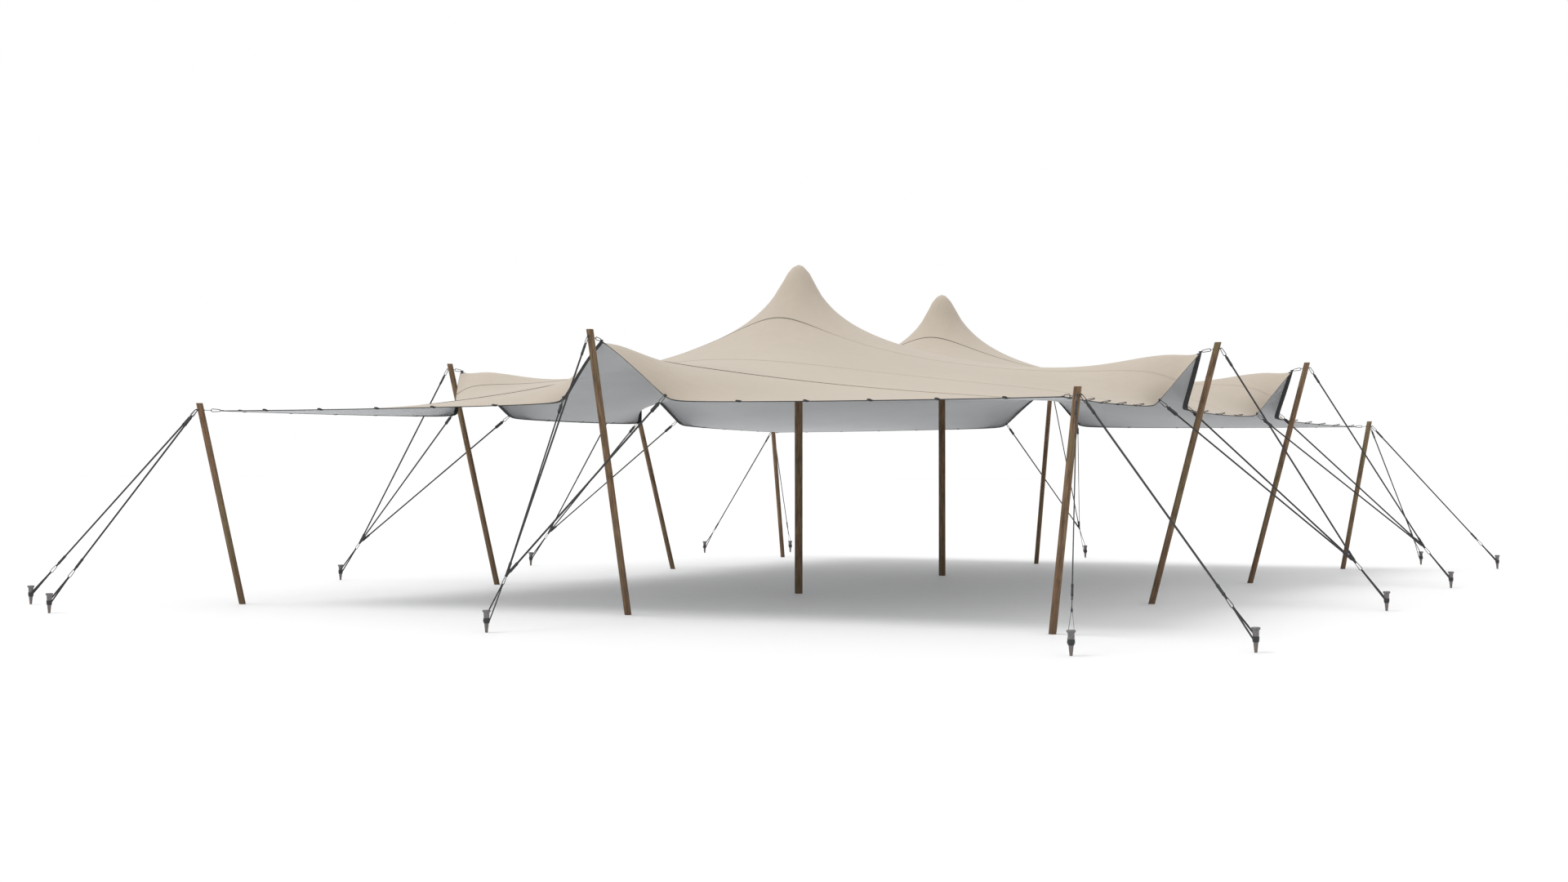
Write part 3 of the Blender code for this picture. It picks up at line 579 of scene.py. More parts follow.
class Shape:
    """Points, faces, finishes and lay of one piece while it is put together."""

    def __init__(self):
        self.points = []
        self.lays = []
        self.faces = []
        self.marks = []
        self.count = 0

    def add(self, points, faces, lay=None, mark=0):
        points = np.asarray(points, float).reshape(-1, 3)
        self.points.append(points)
        self.lays.append(points if lay is None else np.asarray(lay, float).reshape(-1, 3))
        self.faces += [tuple(corner + self.count for corner in face) for face in faces]
        self.marks += [mark] * len(faces)
        self.count += len(points)

    def piece(self, name, finishes, nodes=(), sharp=35.0):
        mesh = bpy.data.meshes.new(name)
        mesh.from_pydata(np.concatenate(self.points).tolist(), [], self.faces)
        mesh.polygons.foreach_set("material_index", self.marks)
        lay = mesh.attributes.new("lay", "FLOAT_VECTOR", "POINT")
        lay.data.foreach_set("vector", np.concatenate(self.lays).ravel())
        work = bmesh.new()
        work.from_mesh(mesh)
        bmesh.ops.recalc_face_normals(work, faces=work.faces[:])
        work.to_mesh(mesh)
        work.free()
        for finish in finishes:
            mesh.materials.append(finish)
        mesh.shade_smooth()
        mesh.set_sharp_from_angle(angle=math.radians(sharp))
        item = bpy.data.objects.new(name, mesh)
        bpy.context.scene.collection.objects.link(item)
        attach(item, "root")
        if nodes:
            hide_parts(*nodes)
        return item


def unit(vector):
    vector = np.asarray(vector, float)
    return vector / np.linalg.norm(vector, axis=-1, keepdims=True)


def square_to(first, second):
    return unit(np.cross(first, second))


def levelled(vector):
    return unit(np.asarray(vector) * [1.0, 1.0, 0.0])


def all_round(steps):
    return np.linspace(0.0, 2.0 * math.pi, steps, endpoint=False)


def run_lengths(points):
    steps = np.linalg.norm(np.diff(np.asarray(points, float), axis=0), axis=1)
    return np.r_[0.0, np.cumsum(steps)]


def tube_faces(rings, sides, closed=False):
    """Faces of a tube whose rings follow each other in one list of points."""
    faces = []
    for i in range(rings if closed else rings - 1):
        j = (i + 1) % rings
        for k in range(sides):
            n = (k + 1) % sides
            faces.append((i * sides + k, i * sides + n, j * sides + n, j * sides + k))
    ends = () if closed else (0, rings - 1)
    return faces + [tuple(ring * sides + k for k in range(sides)) for ring in ends]


def sweep(shape, path, across, face, profile, closed=False, mark=0):
    """A profile of (across, face) offsets, one or one per point, carried along a path."""
    path, profile = np.asarray(path, float), np.asarray(profile, float)
    profile = np.broadcast_to(profile, (len(path),) + profile.shape[-2:])
    across, face = (np.broadcast_to(way, path.shape) for way in (across, face))
    points = path[:, None] + across[:, None] * profile[..., :1] + face[:, None] * profile[..., 1:]
    lay = np.zeros(points.shape)
    lay[..., 0] = run_lengths(profile[len(path) // 2])
    lay[..., 1] = run_lengths(path)[:, None]
    shape.add(points, tube_faces(len(path), profile.shape[1], closed), lay, mark)


def along_path(path, closed=False):
    path = np.asarray(path, float)
    if closed:
        return unit(np.roll(path, -1, axis=0) - np.roll(path, 1, axis=0))
    return unit(np.gradient(path, axis=0))


def wire(shape, path, radius, plane_normal, closed=False):
    """A round steel wire bent in one plane."""
    normal = unit(plane_normal)
    outward = square_to(along_path(path, closed), normal)
    turn = all_round(10)
    circle = radius * np.stack([np.cos(turn), np.sin(turn)], 1)
    sweep(shape, path, outward, normal, circle, closed, 1)


def arc(centre, first, second, radius, start, end, steps):
    """Points of an arc; angles in degrees from first towards second."""
    turn = np.radians(np.linspace(start, end, steps + 1))[:, None]
    return centre + radius * (np.asarray(first) * np.cos(turn) + np.asarray(second) * np.sin(turn))


def flat_web(width, thickness, steps=2):
    """Outline of flat webbing with rounded edges."""
    radius = thickness * 0.46
    corners = []
    for start, sx, sy in ((0, 1, 1), (90, -1, 1), (180, -1, -1), (270, 1, -1)):
        centre = np.array([sx * (width / 2 - radius), sy * (thickness / 2 - radius)])
        corners.append(arc(centre, (1.0, 0.0), (0.0, 1.0), radius, start, start + 90, steps))
    return np.concatenate(corners)


def web_run(shape, path, across, width, thickness, closed=False):
    """Webbing along a path that bends only about its own width."""
    face = np.cross(along_path(path, closed), across)
    sweep(shape, path, across, face, flat_web(width, thickness), closed)


def sleeve(shape, start, end, across, width, thickness):
    """A folded and sewn block of webbing, eased at both ends, with a raised keeper at each."""
    shares, swell = np.array(SLEEVE_SWELL).T
    path = start + (end - start) * shares[:, None]
    face = np.cross(unit(end - start), across)
    outline = flat_web(width, thickness, 3)[None] * swell[:, None, None]
    sweep(shape, path, across, face, outline)


def link(shape, tip, along, plane_normal, tip_radius=LINK_SMALL_END, far_radius=LINK_LARGE_END):
    """A pear-shaped wire link whose outermost point is tip."""
    across = square_to(along, plane_normal)
    first = tip + along * (tip_radius + LINK_WIRE)
    last = tip + along * (LINK_LENGTH - far_radius - LINK_WIRE)
    path = np.concatenate([arc(first, across, -along, tip_radius, 0, 180, 9),
                           arc(last, -across, along, far_radius, 0, 180, 9)])
    wire(shape, path, LINK_WIRE + 0.0005, plane_normal, closed=True)


def keeper_loop(shape, root, wire_centre, wire_along, width):
    """Webbing from a hem round a link's wire and back."""
    pull = unit(wire_centre - root)
    side = square_to(wire_along, pull)
    radius = LINK_WIRE + KEEPER_THICKNESS / 2 + 0.0003
    bend = arc(wire_centre, side, pull, radius, 0, 180, 8)
    path = np.concatenate([[root + side * radius], bend, [root - side * radius]])
    web_run(shape, path, square_to(pull, side), width, KEEPER_THICKNESS)


# Canopy surface


def soft_rise(distance):
    """1 at a side post, falling in a slight outward bow to 0 at the low point of the hem."""
    def ease(value):
        return 0.5 * (value + np.sqrt(value * value + HEM_RISE_SOFTNESS ** 2))
    part = np.clip(distance / HEM_RISE_HALF, 0.0, 1.0)
    bow = 4.0 * HEM_RISE_BOW * part * (1.0 - part)
    return ease(1.0 - distance / HEM_RISE_HALF) / ease(1.0) + bow


def hem_side(half_length, top_line, insets, posts, corner_out, samples=4000):
    """Points (along, out, up) of one hem, with a peak at each post and a corner at each end."""
    apex_inset, low_inset = insets
    along = np.linspace(-half_length, half_length, samples + 1)
    low_out = top_line - low_inset
    near = np.min(np.abs(along[:, None] - np.array(posts)[None, :]), axis=1)
    rise = soft_rise(near)
    out = low_out + (low_inset - apex_inset) * rise
    up = HEM_LOW_Z + (HEM_APEX_Z - HEM_LOW_Z) * rise
    ends = [post + reach for post in posts for reach in (-HEM_RISE_HALF, HEM_RISE_HALF)]
    stops = [-half_length, *ends, half_length]
    for start, end in zip(stops[0::2], stops[1::2]):
        inside = (along >= start) & (along <= end)
        part = (along[inside] - start) / (end - start)
        bow = 4.0 * part * (1.0 - part)
        corner = (start == -half_length) * (1.0 - part) + (end == half_length) * part
        out[inside] += (corner_out - low_out) * corner - HEM_BOW_IN * bow
        up[inside] += (HEM_CORNER_Z - HEM_LOW_Z) * corner - HEM_BOW_DOWN * bow
    return np.stack([along, out, up], 1)


def even_steps(points, stops, count):
    """Resample a curve so that each stretch between two stops has count even steps."""
    at = [int(np.argmin(np.abs(points[:, 0] - stop))) for stop in stops]
    result = []
    for low, high in zip(at, at[1:]):
        stretch = points[low:high + 1]
        run = run_lengths(stretch)
        wanted = np.linspace(0.0, run[-1], count + 1)[:-1]
        result.append(np.stack([np.interp(wanted, run, row) for row in stretch.T], 1))
    return np.concatenate([*result, points[at[-1:]]])


def hem_frame(across, along):
    """Grid with the four hems on its border and a smooth blend of them inside."""
    half_width, half_length = HEM_CORNER
    end = hem_side(half_width, END_TOP, END_INSETS, [0.0], half_length)
    end = even_steps(end, [-half_width, 0.0, half_width], across // 2)
    side = hem_side(half_length, SIDE_TOP, SIDE_INSETS, [-BAY_HALF, BAY_HALF], half_width)
    side = even_steps(side, [-half_length, -BAY_HALF, BAY_HALF, half_length], along // 3)
    net = np.zeros((across + 1, along + 1, 3))
    net[:, 0] = end * [1.0, -1.0, 1.0]
    net[:, -1] = end
    net[-1] = side[:, [1, 0, 2]]
    net[0] = net[-1] * [-1.0, 1.0, 1.0]
    u = np.linspace(0.0, 1.0, across + 1)[:, None, None]
    v = np.linspace(0.0, 1.0, along + 1)[None, :, None]
    blend = net[:, :1] * (1 - v) + net[:, -1:] * v + net[:1] * (1 - u) + net[-1:] * u
    blend -= (1 - u) * (1 - v) * net[0, 0] + u * (1 - v) * net[-1, 0]
    blend -= (1 - u) * v * net[0, -1] + u * v * net[-1, -1]
    net[1:-1, 1:-1] = blend[1:-1, 1:-1]
    return net


def fabric_pull(flat_u, flat_v):
    """Pull between neighbouring grid points, raised along the line from each side post."""
    across, along = flat_u.shape[0] - 1, flat_u.shape[1] - 1
    stiff_u = np.exp(-((np.abs(flat_v) - ROW_ALONG) / RIDGE_WIDTH) ** 2)
    stiff_u = stiff_u * np.exp(-((SHEET[0] / 2 - np.abs(flat_u)) / RIDGE_REACH) ** 2)
    stiff_v = np.exp(-(flat_u / RIDGE_WIDTH) ** 2)
    stiff_v = stiff_v * np.exp(-((SHEET[1] / 2 - np.abs(flat_v)) / RIDGE_REACH) ** 2)
    pull_u = 1 + RIDGE_STIFFNESS * 0.5 * (stiff_u[1:] + stiff_u[:-1])
    pull_v = 1 + RIDGE_STIFFNESS * 0.5 * (stiff_v[:, 1:] + stiff_v[:, :-1])
    return pull_u * (across / SHEET[0]) ** 2, pull_v * (along / SHEET[1]) ** 2


def flat_grid(grid):
    """Flat distances across and along of the points of a grid."""
    across = np.linspace(-0.5, 0.5, grid[0])[:, None] * SHEET[0]
    along = np.linspace(-0.5, 0.5, grid[1])[None, :] * SHEET[1]
    return np.broadcast_arrays(across, along)


def set_peaks(net):
    """Put the points over the heads of the centre posts in place."""
    flat_u, flat_v = flat_grid(net.shape[:2])
    for sign in (-1.0, 1.0):
        radius = np.hypot(flat_u, flat_v - sign * ROW_ALONG)
        cap = radius < PEAK_PATCH_RADIUS
        net[cap, 0] = flat_u[cap]
        net[cap, 1] = flat_v[cap] + sign * (BAY_HALF - ROW_ALONG)
        net[cap, 2] = PEAK_Z - PEAK_CURVE * radius[cap] ** 2


def settle(net, passes, kept_radius):
    """Pull the net to balance between its fixed hems, its peaks and its own weight."""
    grid = net.shape[:2]
    flat_u, flat_v = flat_grid(grid)
    fixed = np.hypot(flat_u, np.abs(flat_v) - ROW_ALONG) < kept_radius
    pull_u, pull_v = fabric_pull(flat_u, flat_v)
    west, east = pull_u[:-1, 1:-1, None], pull_u[1:, 1:-1, None]
    south, north = pull_v[1:-1, :-1, None], pull_v[1:-1, 1:, None]
    total = west + east + south + north
    row, column = np.indices(grid)
    inner = net[1:-1, 1:-1]
    turns = [(((row + column) % 2 == parity) & ~fixed)[1:-1, 1:-1] for parity in (0, 1)]
    for _ in range(passes):
        for free in turns:
            mean = west * net[:-2, 1:-1] + east * net[2:, 1:-1]
            mean += south * net[1:-1, :-2] + north * net[1:-1, 2:]
            mean /= total
            mean[..., 2:] -= SAG_LOAD / total
            inner[free] += OVER_RELAXATION * (mean[free] - inner[free])


def twice_as_many(rows):
    """The same rows with one more between each two, on a smooth curve through them."""
    longer = np.concatenate([2 * rows[:1] - rows[1:2], rows, 2 * rows[-1:] - rows[-2:-1]])
    result = np.zeros((2 * len(rows) - 1,) + rows.shape[1:])
    result[::2] = rows
    result[1::2] = (9 * (longer[1:-2] + longer[2:-1]) - longer[:-3] - longer[3:]) / 16
    return result


def raise_folds(net):
    """Lift the folds that run inward from the side posts; the hems stay where they are."""
    inner = net[1:-1, 1:-1]
    rise = np.zeros(inner.shape[:2])
    for axis, post, (lift, place) in ((0, BAY_HALF, SIDE_FOLD), (1, 0.0, END_FOLD)):
        across = (np.abs(inner[..., 1 - axis]) - post) / FOLD_WIDTH
        for end in (0, -1):
            hem = net[end, 1:-1][None] if axis == 0 else net[1:-1, end][:, None]
            inward = np.abs(inner[..., axis] - hem[..., axis]) / place
            rise += lift * (inward * np.exp(1.0 - inward)) ** 2 * np.exp(-across ** 2)
    inner[..., 2] += rise


@functools.lru_cache(maxsize=None)
def canopy_net():
    """Points [across, along, xyz] of the stretched sheet, and its upward normals."""
    coarse = hem_frame(*COARSE_GRID)
    set_peaks(coarse)
    settle(coarse, COARSE_PASSES, PEAK_PATCH_RADIUS)
    net = hem_frame(*FINE_GRID)
    finer = twice_as_many(twice_as_many(coarse).swapaxes(0, 1)).swapaxes(0, 1)
    net[1:-1, 1:-1] = finer[1:-1, 1:-1]
    settle(net, FINE_PASSES, PEAK_KEPT_RADIUS)
    raise_folds(net)
    normals = unit(np.cross(np.gradient(net, axis=0), np.gradient(net, axis=1)))
    return net, normals


def on_sheet(flat):
    """Places and normals of the stretched sheet at flat (across, along) distances."""
    net, normals = canopy_net()
    flat = np.asarray(flat, float)
    cells = np.array(FINE_GRID)
    at = np.clip(flat / SHEET + 0.5, 0.0, 1.0) * cells
    low = np.minimum(np.floor(at + 1e-9).astype(int), cells - 1)
    part = at - low
    place = normal = 0.0
    for du, dv in ((0, 0), (0, 1), (1, 0), (1, 1)):
        weight = (np.abs(1 - du - part[..., 0]) * np.abs(1 - dv - part[..., 1]))[..., None]
        corner = low[..., 0] + du, low[..., 1] + dv
        place, normal = place + net[corner] * weight, normal + normals[corner] * weight
    return place, unit(normal)


def slab(points, normals, high, low):
    """Points of a slab's two faces over a grid of places, the corners of its cells, its rim."""
    rows, columns = points.shape[:2]
    count = rows * columns
    both = [points + normals * np.reshape(height, (1, -1, 1)) for height in (high, low)]
    first = (np.arange(rows - 1)[:, None] * columns + np.arange(columns - 1)[None]).ravel()
    cells = np.stack([first, first + columns, first + columns + 1, first + 1], 1)
    row, column = hem_round(rows, columns)
    rim = (row * columns + column).tolist()
    sides = [(p, q, count + q, count + p) for p, q in zip(rim, rim[1:] + rim[:1])]
    return np.reshape(both, (-1, 3)), cells, sides


def patch(shape, flat, low, high, mark=0):
    """A thin slab that follows the sheet over a grid of flat places, between two heights."""
    rows, columns = flat.shape[:2]
    both, cells, sides = slab(*on_sheet(flat), high, low)
    faces = cells.tolist() + (cells[:, ::-1] + rows * columns).tolist() + sides
    lay = np.zeros((rows, columns, 3))
    lay[..., 0] = np.linalg.norm(flat - flat[:, :1], axis=2)
    lay[..., 1] = np.linalg.norm(flat - flat[:1], axis=2)
    shape.add(both, faces, np.concatenate([lay.reshape(-1, 3)] * 2), mark)


def hem_round(rows, columns):
    """Rows and columns of a grid's border, in order round it."""
    order = [(i, 0) for i in range(rows)] + [(rows - 1, j) for j in range(1, columns)]
    order += [(i, columns - 1) for i in range(rows - 2, -1, -1)]
    order += [(0, j) for j in range(columns - 2, 0, -1)]
    return np.array(order).T


def flat_place(side, along, inward):
    """Flat distances of a place some way along one hem and some way in from it."""
    axis, sign = HEMS[side]
    outward = sign * (SHEET[axis] / 2 - np.asarray(inward, float))
    along = np.asarray(along, float)
    return np.stack(np.broadcast_arrays(*((along, outward) if axis else (outward, along))), -1)


def hem_axes(side, along):
    """Place on a hem, and its directions along, outward and upward."""
    step = 0.02
    places, normals = on_sheet(flat_place(side, [along - step, along, along + step], 0.0))
    inner = on_sheet(flat_place(side, along, step))[0]
    tangent = unit(places[2] - places[0])
    outward = square_to(tangent, normals[1])
    if np.dot(outward, places[1] - inner) < 0:
        outward = -outward
    return places[1], tangent, outward, normals[1]


# Places of posts and stakes


def outer_posts():
    """The six tall outer posts, then the four at the corners."""
    posts = []
    tall = [(side, side, 0.0) for side in ROWS]
    tall += [(f"{side}_{row}", side, ROWS[row]) for side in ("left", "right") for row in ROWS]
    for label, side, row in tall:
        axis, sign = HEMS[side]
        outward, top = np.zeros((2, 3))
        outward[axis] = sign
        top[:2] = (sign * SIDE_TOP, row * BAY_HALF) if row else (0.0, sign * END_TOP)
        posts.append(Post(f"side_{label}", top - outward * SIDE_LEAN, top, SIDE_POST_HEIGHT,
                          EYE_HEIGHT_SIDE, [("", top + outward * SIDE_STAKE_REACH)],
                          flat_place(side, row * ROW_ALONG, 0.0), side, row * ROW_ALONG))
    for end, row in ROWS.items():
        for side in ("left", "right"):
            signs = np.array([HEMS[side][1], row, 0.0])
            stakes = [(f"_{letter}", np.array([*place, 0.0]) * signs)
                      for letter, place in zip("ab", CORNER_STAKES)]
            posts.append(Post(f"corner_{end}_{side}", np.array([*CORNER_FOOT, 0.0]) * signs,
                              np.array([*CORNER_TOP, 0.0]) * signs, CORNER_POST_HEIGHT,
                              EYE_HEIGHT_CORNER, stakes, signs[:2] * SHEET / 2, None, None))
    return posts


def low_points(post):
    """Hem and place along it of the low points that a tall post's straps hold."""
    steps = (-HEM_LOW_STEP, HEM_LOW_STEP) if post.side else ()
    return [(post.side, post.place + step) for step in steps]


def post_axis(post, height):
    return post.foot + (post.top - post.foot) * (height / post.height) + UP * height


def eye_bar(post, direction):
    """Centre of a staple's bar on the side of a leaning post that faces direction."""
    return post_axis(post, post.eye) + levelled(direction) * (POST_RADIUS + STAPLE_STAND_OFF)


def link_from_hem(post):
    """Tip and direction of the link that runs from the hem to a post."""
    hem_place = on_sheet(post.hem)[0]
    outward = unit(post_axis(post, post.eye) - hem_place)
    return hem_place + outward * TOUCH_GAP, outward


# Canopy pieces


def canopy_sheet(canopy):
    """The whole fabric as one closed thin sheet, beige above and grey below."""
    net, normals = canopy_net()
    both, cells, rim = slab(net, normals, SHEET_TOP, SHEET_UNDER)
    points = net.reshape(-1, 3)
    count = len(points)
    a, b, c, d = np.swapaxes(points[cells], 0, 1)
    shorter = (np.linalg.norm(a - c, axis=1) < np.linalg.norm(b - d, axis=1))[:, None]
    top = np.concatenate([np.where(shorter, cells[:, [0, 1, 2]], cells[:, [0, 1, 3]]),
                          np.where(shorter, cells[:, [0, 2, 3]], cells[:, [1, 2, 3]])])
    flat = np.stack([*flat_grid(net.shape[:2]), np.zeros(net.shape[:2])], -1)
    shape = Shape()
    shape.add(both, top.tolist() + (top[:, ::-1] + count).tolist() + rim,
              np.concatenate([flat.reshape(-1, 3)] * 2))
    shape.marks = [0] * len(top) + [1] * (len(top) + len(rim))
    finishes = [canopy_top_finish(canopy.top_colour), canopy_under_finish(canopy.under_colour)]
    widths = sorted(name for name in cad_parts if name.startswith("canopy_width"))
    item = shape.piece("canopy", finishes, widths, CANOPY_SHARP)
    add_bake_map(item.data, count)
    return item


def add_bake_map(mesh, count):
    """Lay both faces of the sheet side by side in one map, with its rim as a thin border."""
    def values(owner, key, kind=int, size=1):
        found = np.zeros(len(owner) * size, kind)
        owner.foreach_get(key, found)
        return found

    corner = values(mesh.loops, "vertex_index")
    lay = values(mesh.attributes["lay"].data, "vector", float, 3).reshape(-1, 3)
    flat = lay[corner, :2] / (SHEET / 2)
    under = corner >= count
    start, total = (values(mesh.polygons, key) for key in ("loop_start", "loop_total"))
    all_under, any_under = (np.repeat(find.reduceat(under, start), total)
                            for find in (np.minimum, np.maximum))
    flat[any_under & ~all_under & under] *= BAKE_RIM
    middle = np.where(all_under, 0.75, 0.25)
    uv = np.stack([middle + flat[:, 0] * BAKE_SPAN[0], 0.5 + flat[:, 1] * BAKE_SPAN[1]], 1)
    mesh.uv_layers.new(name="OFBake").data.foreach_set("uv", uv.ravel())


def seam_tapes(canopy):
    """Raised tape over each seam of the sheet, coloured with painted shade: dark on a few seams,
    fainter on the rest.
    """
    shape = Shape()
    across = np.linspace(-0.5, 0.5, FINE_GRID[0] + 1) * (SHEET[0] - 0.02)
    offsets = np.array([-0.5, -0.36, 0.0, 0.36, 0.5]) * canopy.seam_width
    crown = np.array([-0.0012, 0.0, 0.0003, 0.0, -0.0012]) + 0.0004
    # Painted shade: a few seams' tapes are very dark and the rest lighter, all paling into the
    # sheet's top colour towards their right ends
    clear, faint, top = canopy.seam_shadow_colour, canopy.faint_shade_colour, canopy.top_colour
    finishes = [seam_finish("faint_shaded_seam_tape", faint, top, FAINT_SHADE_FADE)]
    for place in SEAM_PLACES:
        wide, rise, slot = 1.0, 0.0, 0
        if place in SHADOWED_SEAMS:
            wide, rise, fade = SHADOWED_SEAMS[place]
            slot = len(finishes)
            finishes.append(seam_finish(f"shadowed_seam_tape_{slot}", clear, top, fade))
        flat = np.stack(np.broadcast_arrays(across[:, None], place + offsets[None] * wide), -1)
        patch(shape, flat, TAPE_UNDER, (crown + rise * (crown > 0.0))[None], slot)
    return shape.piece("seam_tapes", finishes)


def per_point(outline, count):
    """A profile of (across, face) offsets, some of them one per point, as a row per point."""
    rows = [[np.broadcast_to(value, count) for value in pair] for pair in outline]
    return np.moveaxis(np.array(rows), 2, 0)


def hem_band(hem):
    """Webbing folded over the sheet's edge round a cord, wide on the underside beside the posts."""
    net, normals = canopy_net()
    across, along = hem_round(*net.shape[:2])
    path, upward = net[across, along], normals[across, along]
    inward = square_to(upward, along_path(path, closed=True))
    flat = (np.stack([across / FINE_GRID[0], along / FINE_GRID[1]], 1) - 0.5) * SHEET
    slim = np.interp(from_posts(flat), HEM_SLIM, [0.0, 1.0])
    lip, bead = hem.lip * (0.25 + 0.75 * slim), hem.bead * (0.5 + 0.5 * slim)
    middle = (SHEET_TOP + SHEET_UNDER) / 2
    outline = [(lip, SHEET_TOP - 0.0006), (lip - 0.0012, SHEET_TOP + 0.0010)]
    outline += [(bead * math.cos(turn), middle + bead * math.sin(turn))
                for turn in np.radians(np.arange(60, 301, 30))]
    outline += [(0.0060, SHEET_UNDER - 0.0016), (0.0072, SHEET_UNDER + 0.0004)]
    shape = Shape()
    sweep(shape, path, inward, upward, per_point(outline, len(path)), closed=True)
    under_band(shape, path, upward, flat, hem)
    finish = webbing_finish("hem_webbing", hem.webbing_colour, HEM_STITCHES)
    return shape.piece("hem_band", [finish], sharp=BAND_SHARP), finish


def from_posts(flat):
    """How far flat places are from the nearest tall outer post."""
    return np.min([np.linalg.norm(flat - post.hem, axis=1) for post in outer_posts()
                   if post.side], axis=0)


def under_band(shape, path, upward, flat, hem):
    """The hem's webbing under the sheet: level inward, or along the sheet where that is lower."""
    path, upward, flat = (np.concatenate([row, row[:1]]) for row in (path, upward, flat))
    straight_in = np.zeros(path.shape)
    straight_in[:, :2] = -np.sign(flat) * (np.abs(flat) > SHEET / 2 - 0.001)
    straight_in = unit(straight_in)
    above = np.maximum(np.sum(straight_in * upward, axis=1) + 0.03, 0.0)
    inward = unit(straight_in - upward * above[:, None])
    under = square_to(along_path(path), inward)
    under *= -np.sign(np.sum(under * upward, axis=1))[:, None]
    grown = np.interp(from_posts(flat), *BAND_GROWTH)
    width = hem.narrow_band + (hem.wide_band - hem.narrow_band) * grown
    thick, ease = BAND_THICKNESS
    outline = [(-0.001, 0.0), (width - 0.001, 0.0), (width, ease), (width, thick - ease),
               (width - 0.001, thick), (-0.001, thick)]
    sweep(shape, path + upward * SHEET_UNDER, inward, under, per_point(outline, len(path)))


def hem_tab(shape, side, along, hem):
    """A folded webbing loop sewn on the hem, standing out and a little upward."""
    place, tangent, outward, upward = hem_axes(side, along)
    lift = unit(levelled(outward) + UP * TAB_LIFT)
    drop = np.cross(tangent, lift)
    drop = -drop if drop[2] > 0 else drop
    tip = place + lift * hem.tab_reach * (END_TAB_REACH if side in ROWS else 1.0)
    stops = [place - outward * TAB_ROOT, place - outward * TAB_EDGE, place + lift * TAB_STEM]
    above, below = ([at + way * (sign * height)
                     for at, way, height in zip(stops, (upward, upward, UP), heights)]
                    for sign, heights in ((1.0, TAB_ABOVE), (-1.0, TAB_BELOW)))
    path = [above, arc(tip, -drop, lift, TAB_FOLD, 0, 180, 6), below[::-1]]
    web_run(shape, np.concatenate(path), tangent, hem.tab_width, TAB_THICKNESS)


def hem_tabs(hem, finish):
    """Webbing tabs on all four hems."""
    shape = Shape()
    for side in HEMS:
        first = 0.0 if side in ROWS else ROW_ALONG
        places = [sign * (first + away) for away in TABS_TO_CORNER for sign in (1.0, -1.0)]
        for along in places + list(TABS_BETWEEN_POSTS if first else ()):
            hem_tab(shape, side, along, hem)
    return shape.piece("hem_tabs", [finish])


def sewn_patch(shape, flat):
    """A patch on each face of the sheet."""
    patch(shape, flat, SHEET_TOP - 0.0008, SHEET_TOP + 0.0013)
    patch(shape, flat, SHEET_UNDER - 0.0022, SHEET_UNDER + 0.0006)


def edge_patch(shape, side, along, half_width, depth, narrow):
    """Sewn patch at a hem that narrows inward."""
    rows = np.linspace(0.004, depth, 7)
    widths = half_width * (1.0 - (1.0 - narrow) * np.linspace(0.0, 1.0, 7) ** 1.2)
    spread = np.linspace(-1.0, 1.0, 9)
    sewn_patch(shape, flat_place(side, along + widths[:, None] * spread[None], rows[:, None]))


def corner_patch(shape, post, size):
    """Sewn three-cornered patch in a corner of the sheet."""
    steps = np.linspace(0.0, 1.0, 8)
    first = steps[:, None] * np.ones(8)[None]
    second = steps[None] * (1.0 - first * 0.96)
    inward = np.stack([first * 0.96, second], -1) * size + 0.003
    sewn_patch(shape, np.sign(post.hem) * (SHEET / 2 - inward))


def loop_to_link(shape, post):
    """A webbing loop that holds the link of a post, in a sewn keeper."""
    tip, outward = link_from_hem(post)
    across = square_to(UP, outward)
    wire_along = np.cross(outward, across)
    keeper_loop(shape, tip - outward * 0.030 - wire_along * 0.002, tip + outward * LINK_WIRE,
                wire_along, POST_LOOP_WIDTH)
    back, front, *section = POST_KEEPER
    sleeve(shape, tip - outward * back, tip - outward * front, across, *section)


def hem_loops(finish):
    """Patches and loops where straps and posts hold the sheet."""
    shape = Shape()
    for post in outer_posts():
        if post.side:
            edge_patch(shape, post.side, post.place, *POST_PATCH)
        else:
            corner_patch(shape, post, CORNER_PATCH)
        loop_to_link(shape, post)
        for side, place in low_points(post):
            edge_patch(shape, side, place, *LOW_POINT_PATCH)
    return shape.piece("hem_loops", [finish])


# Posts


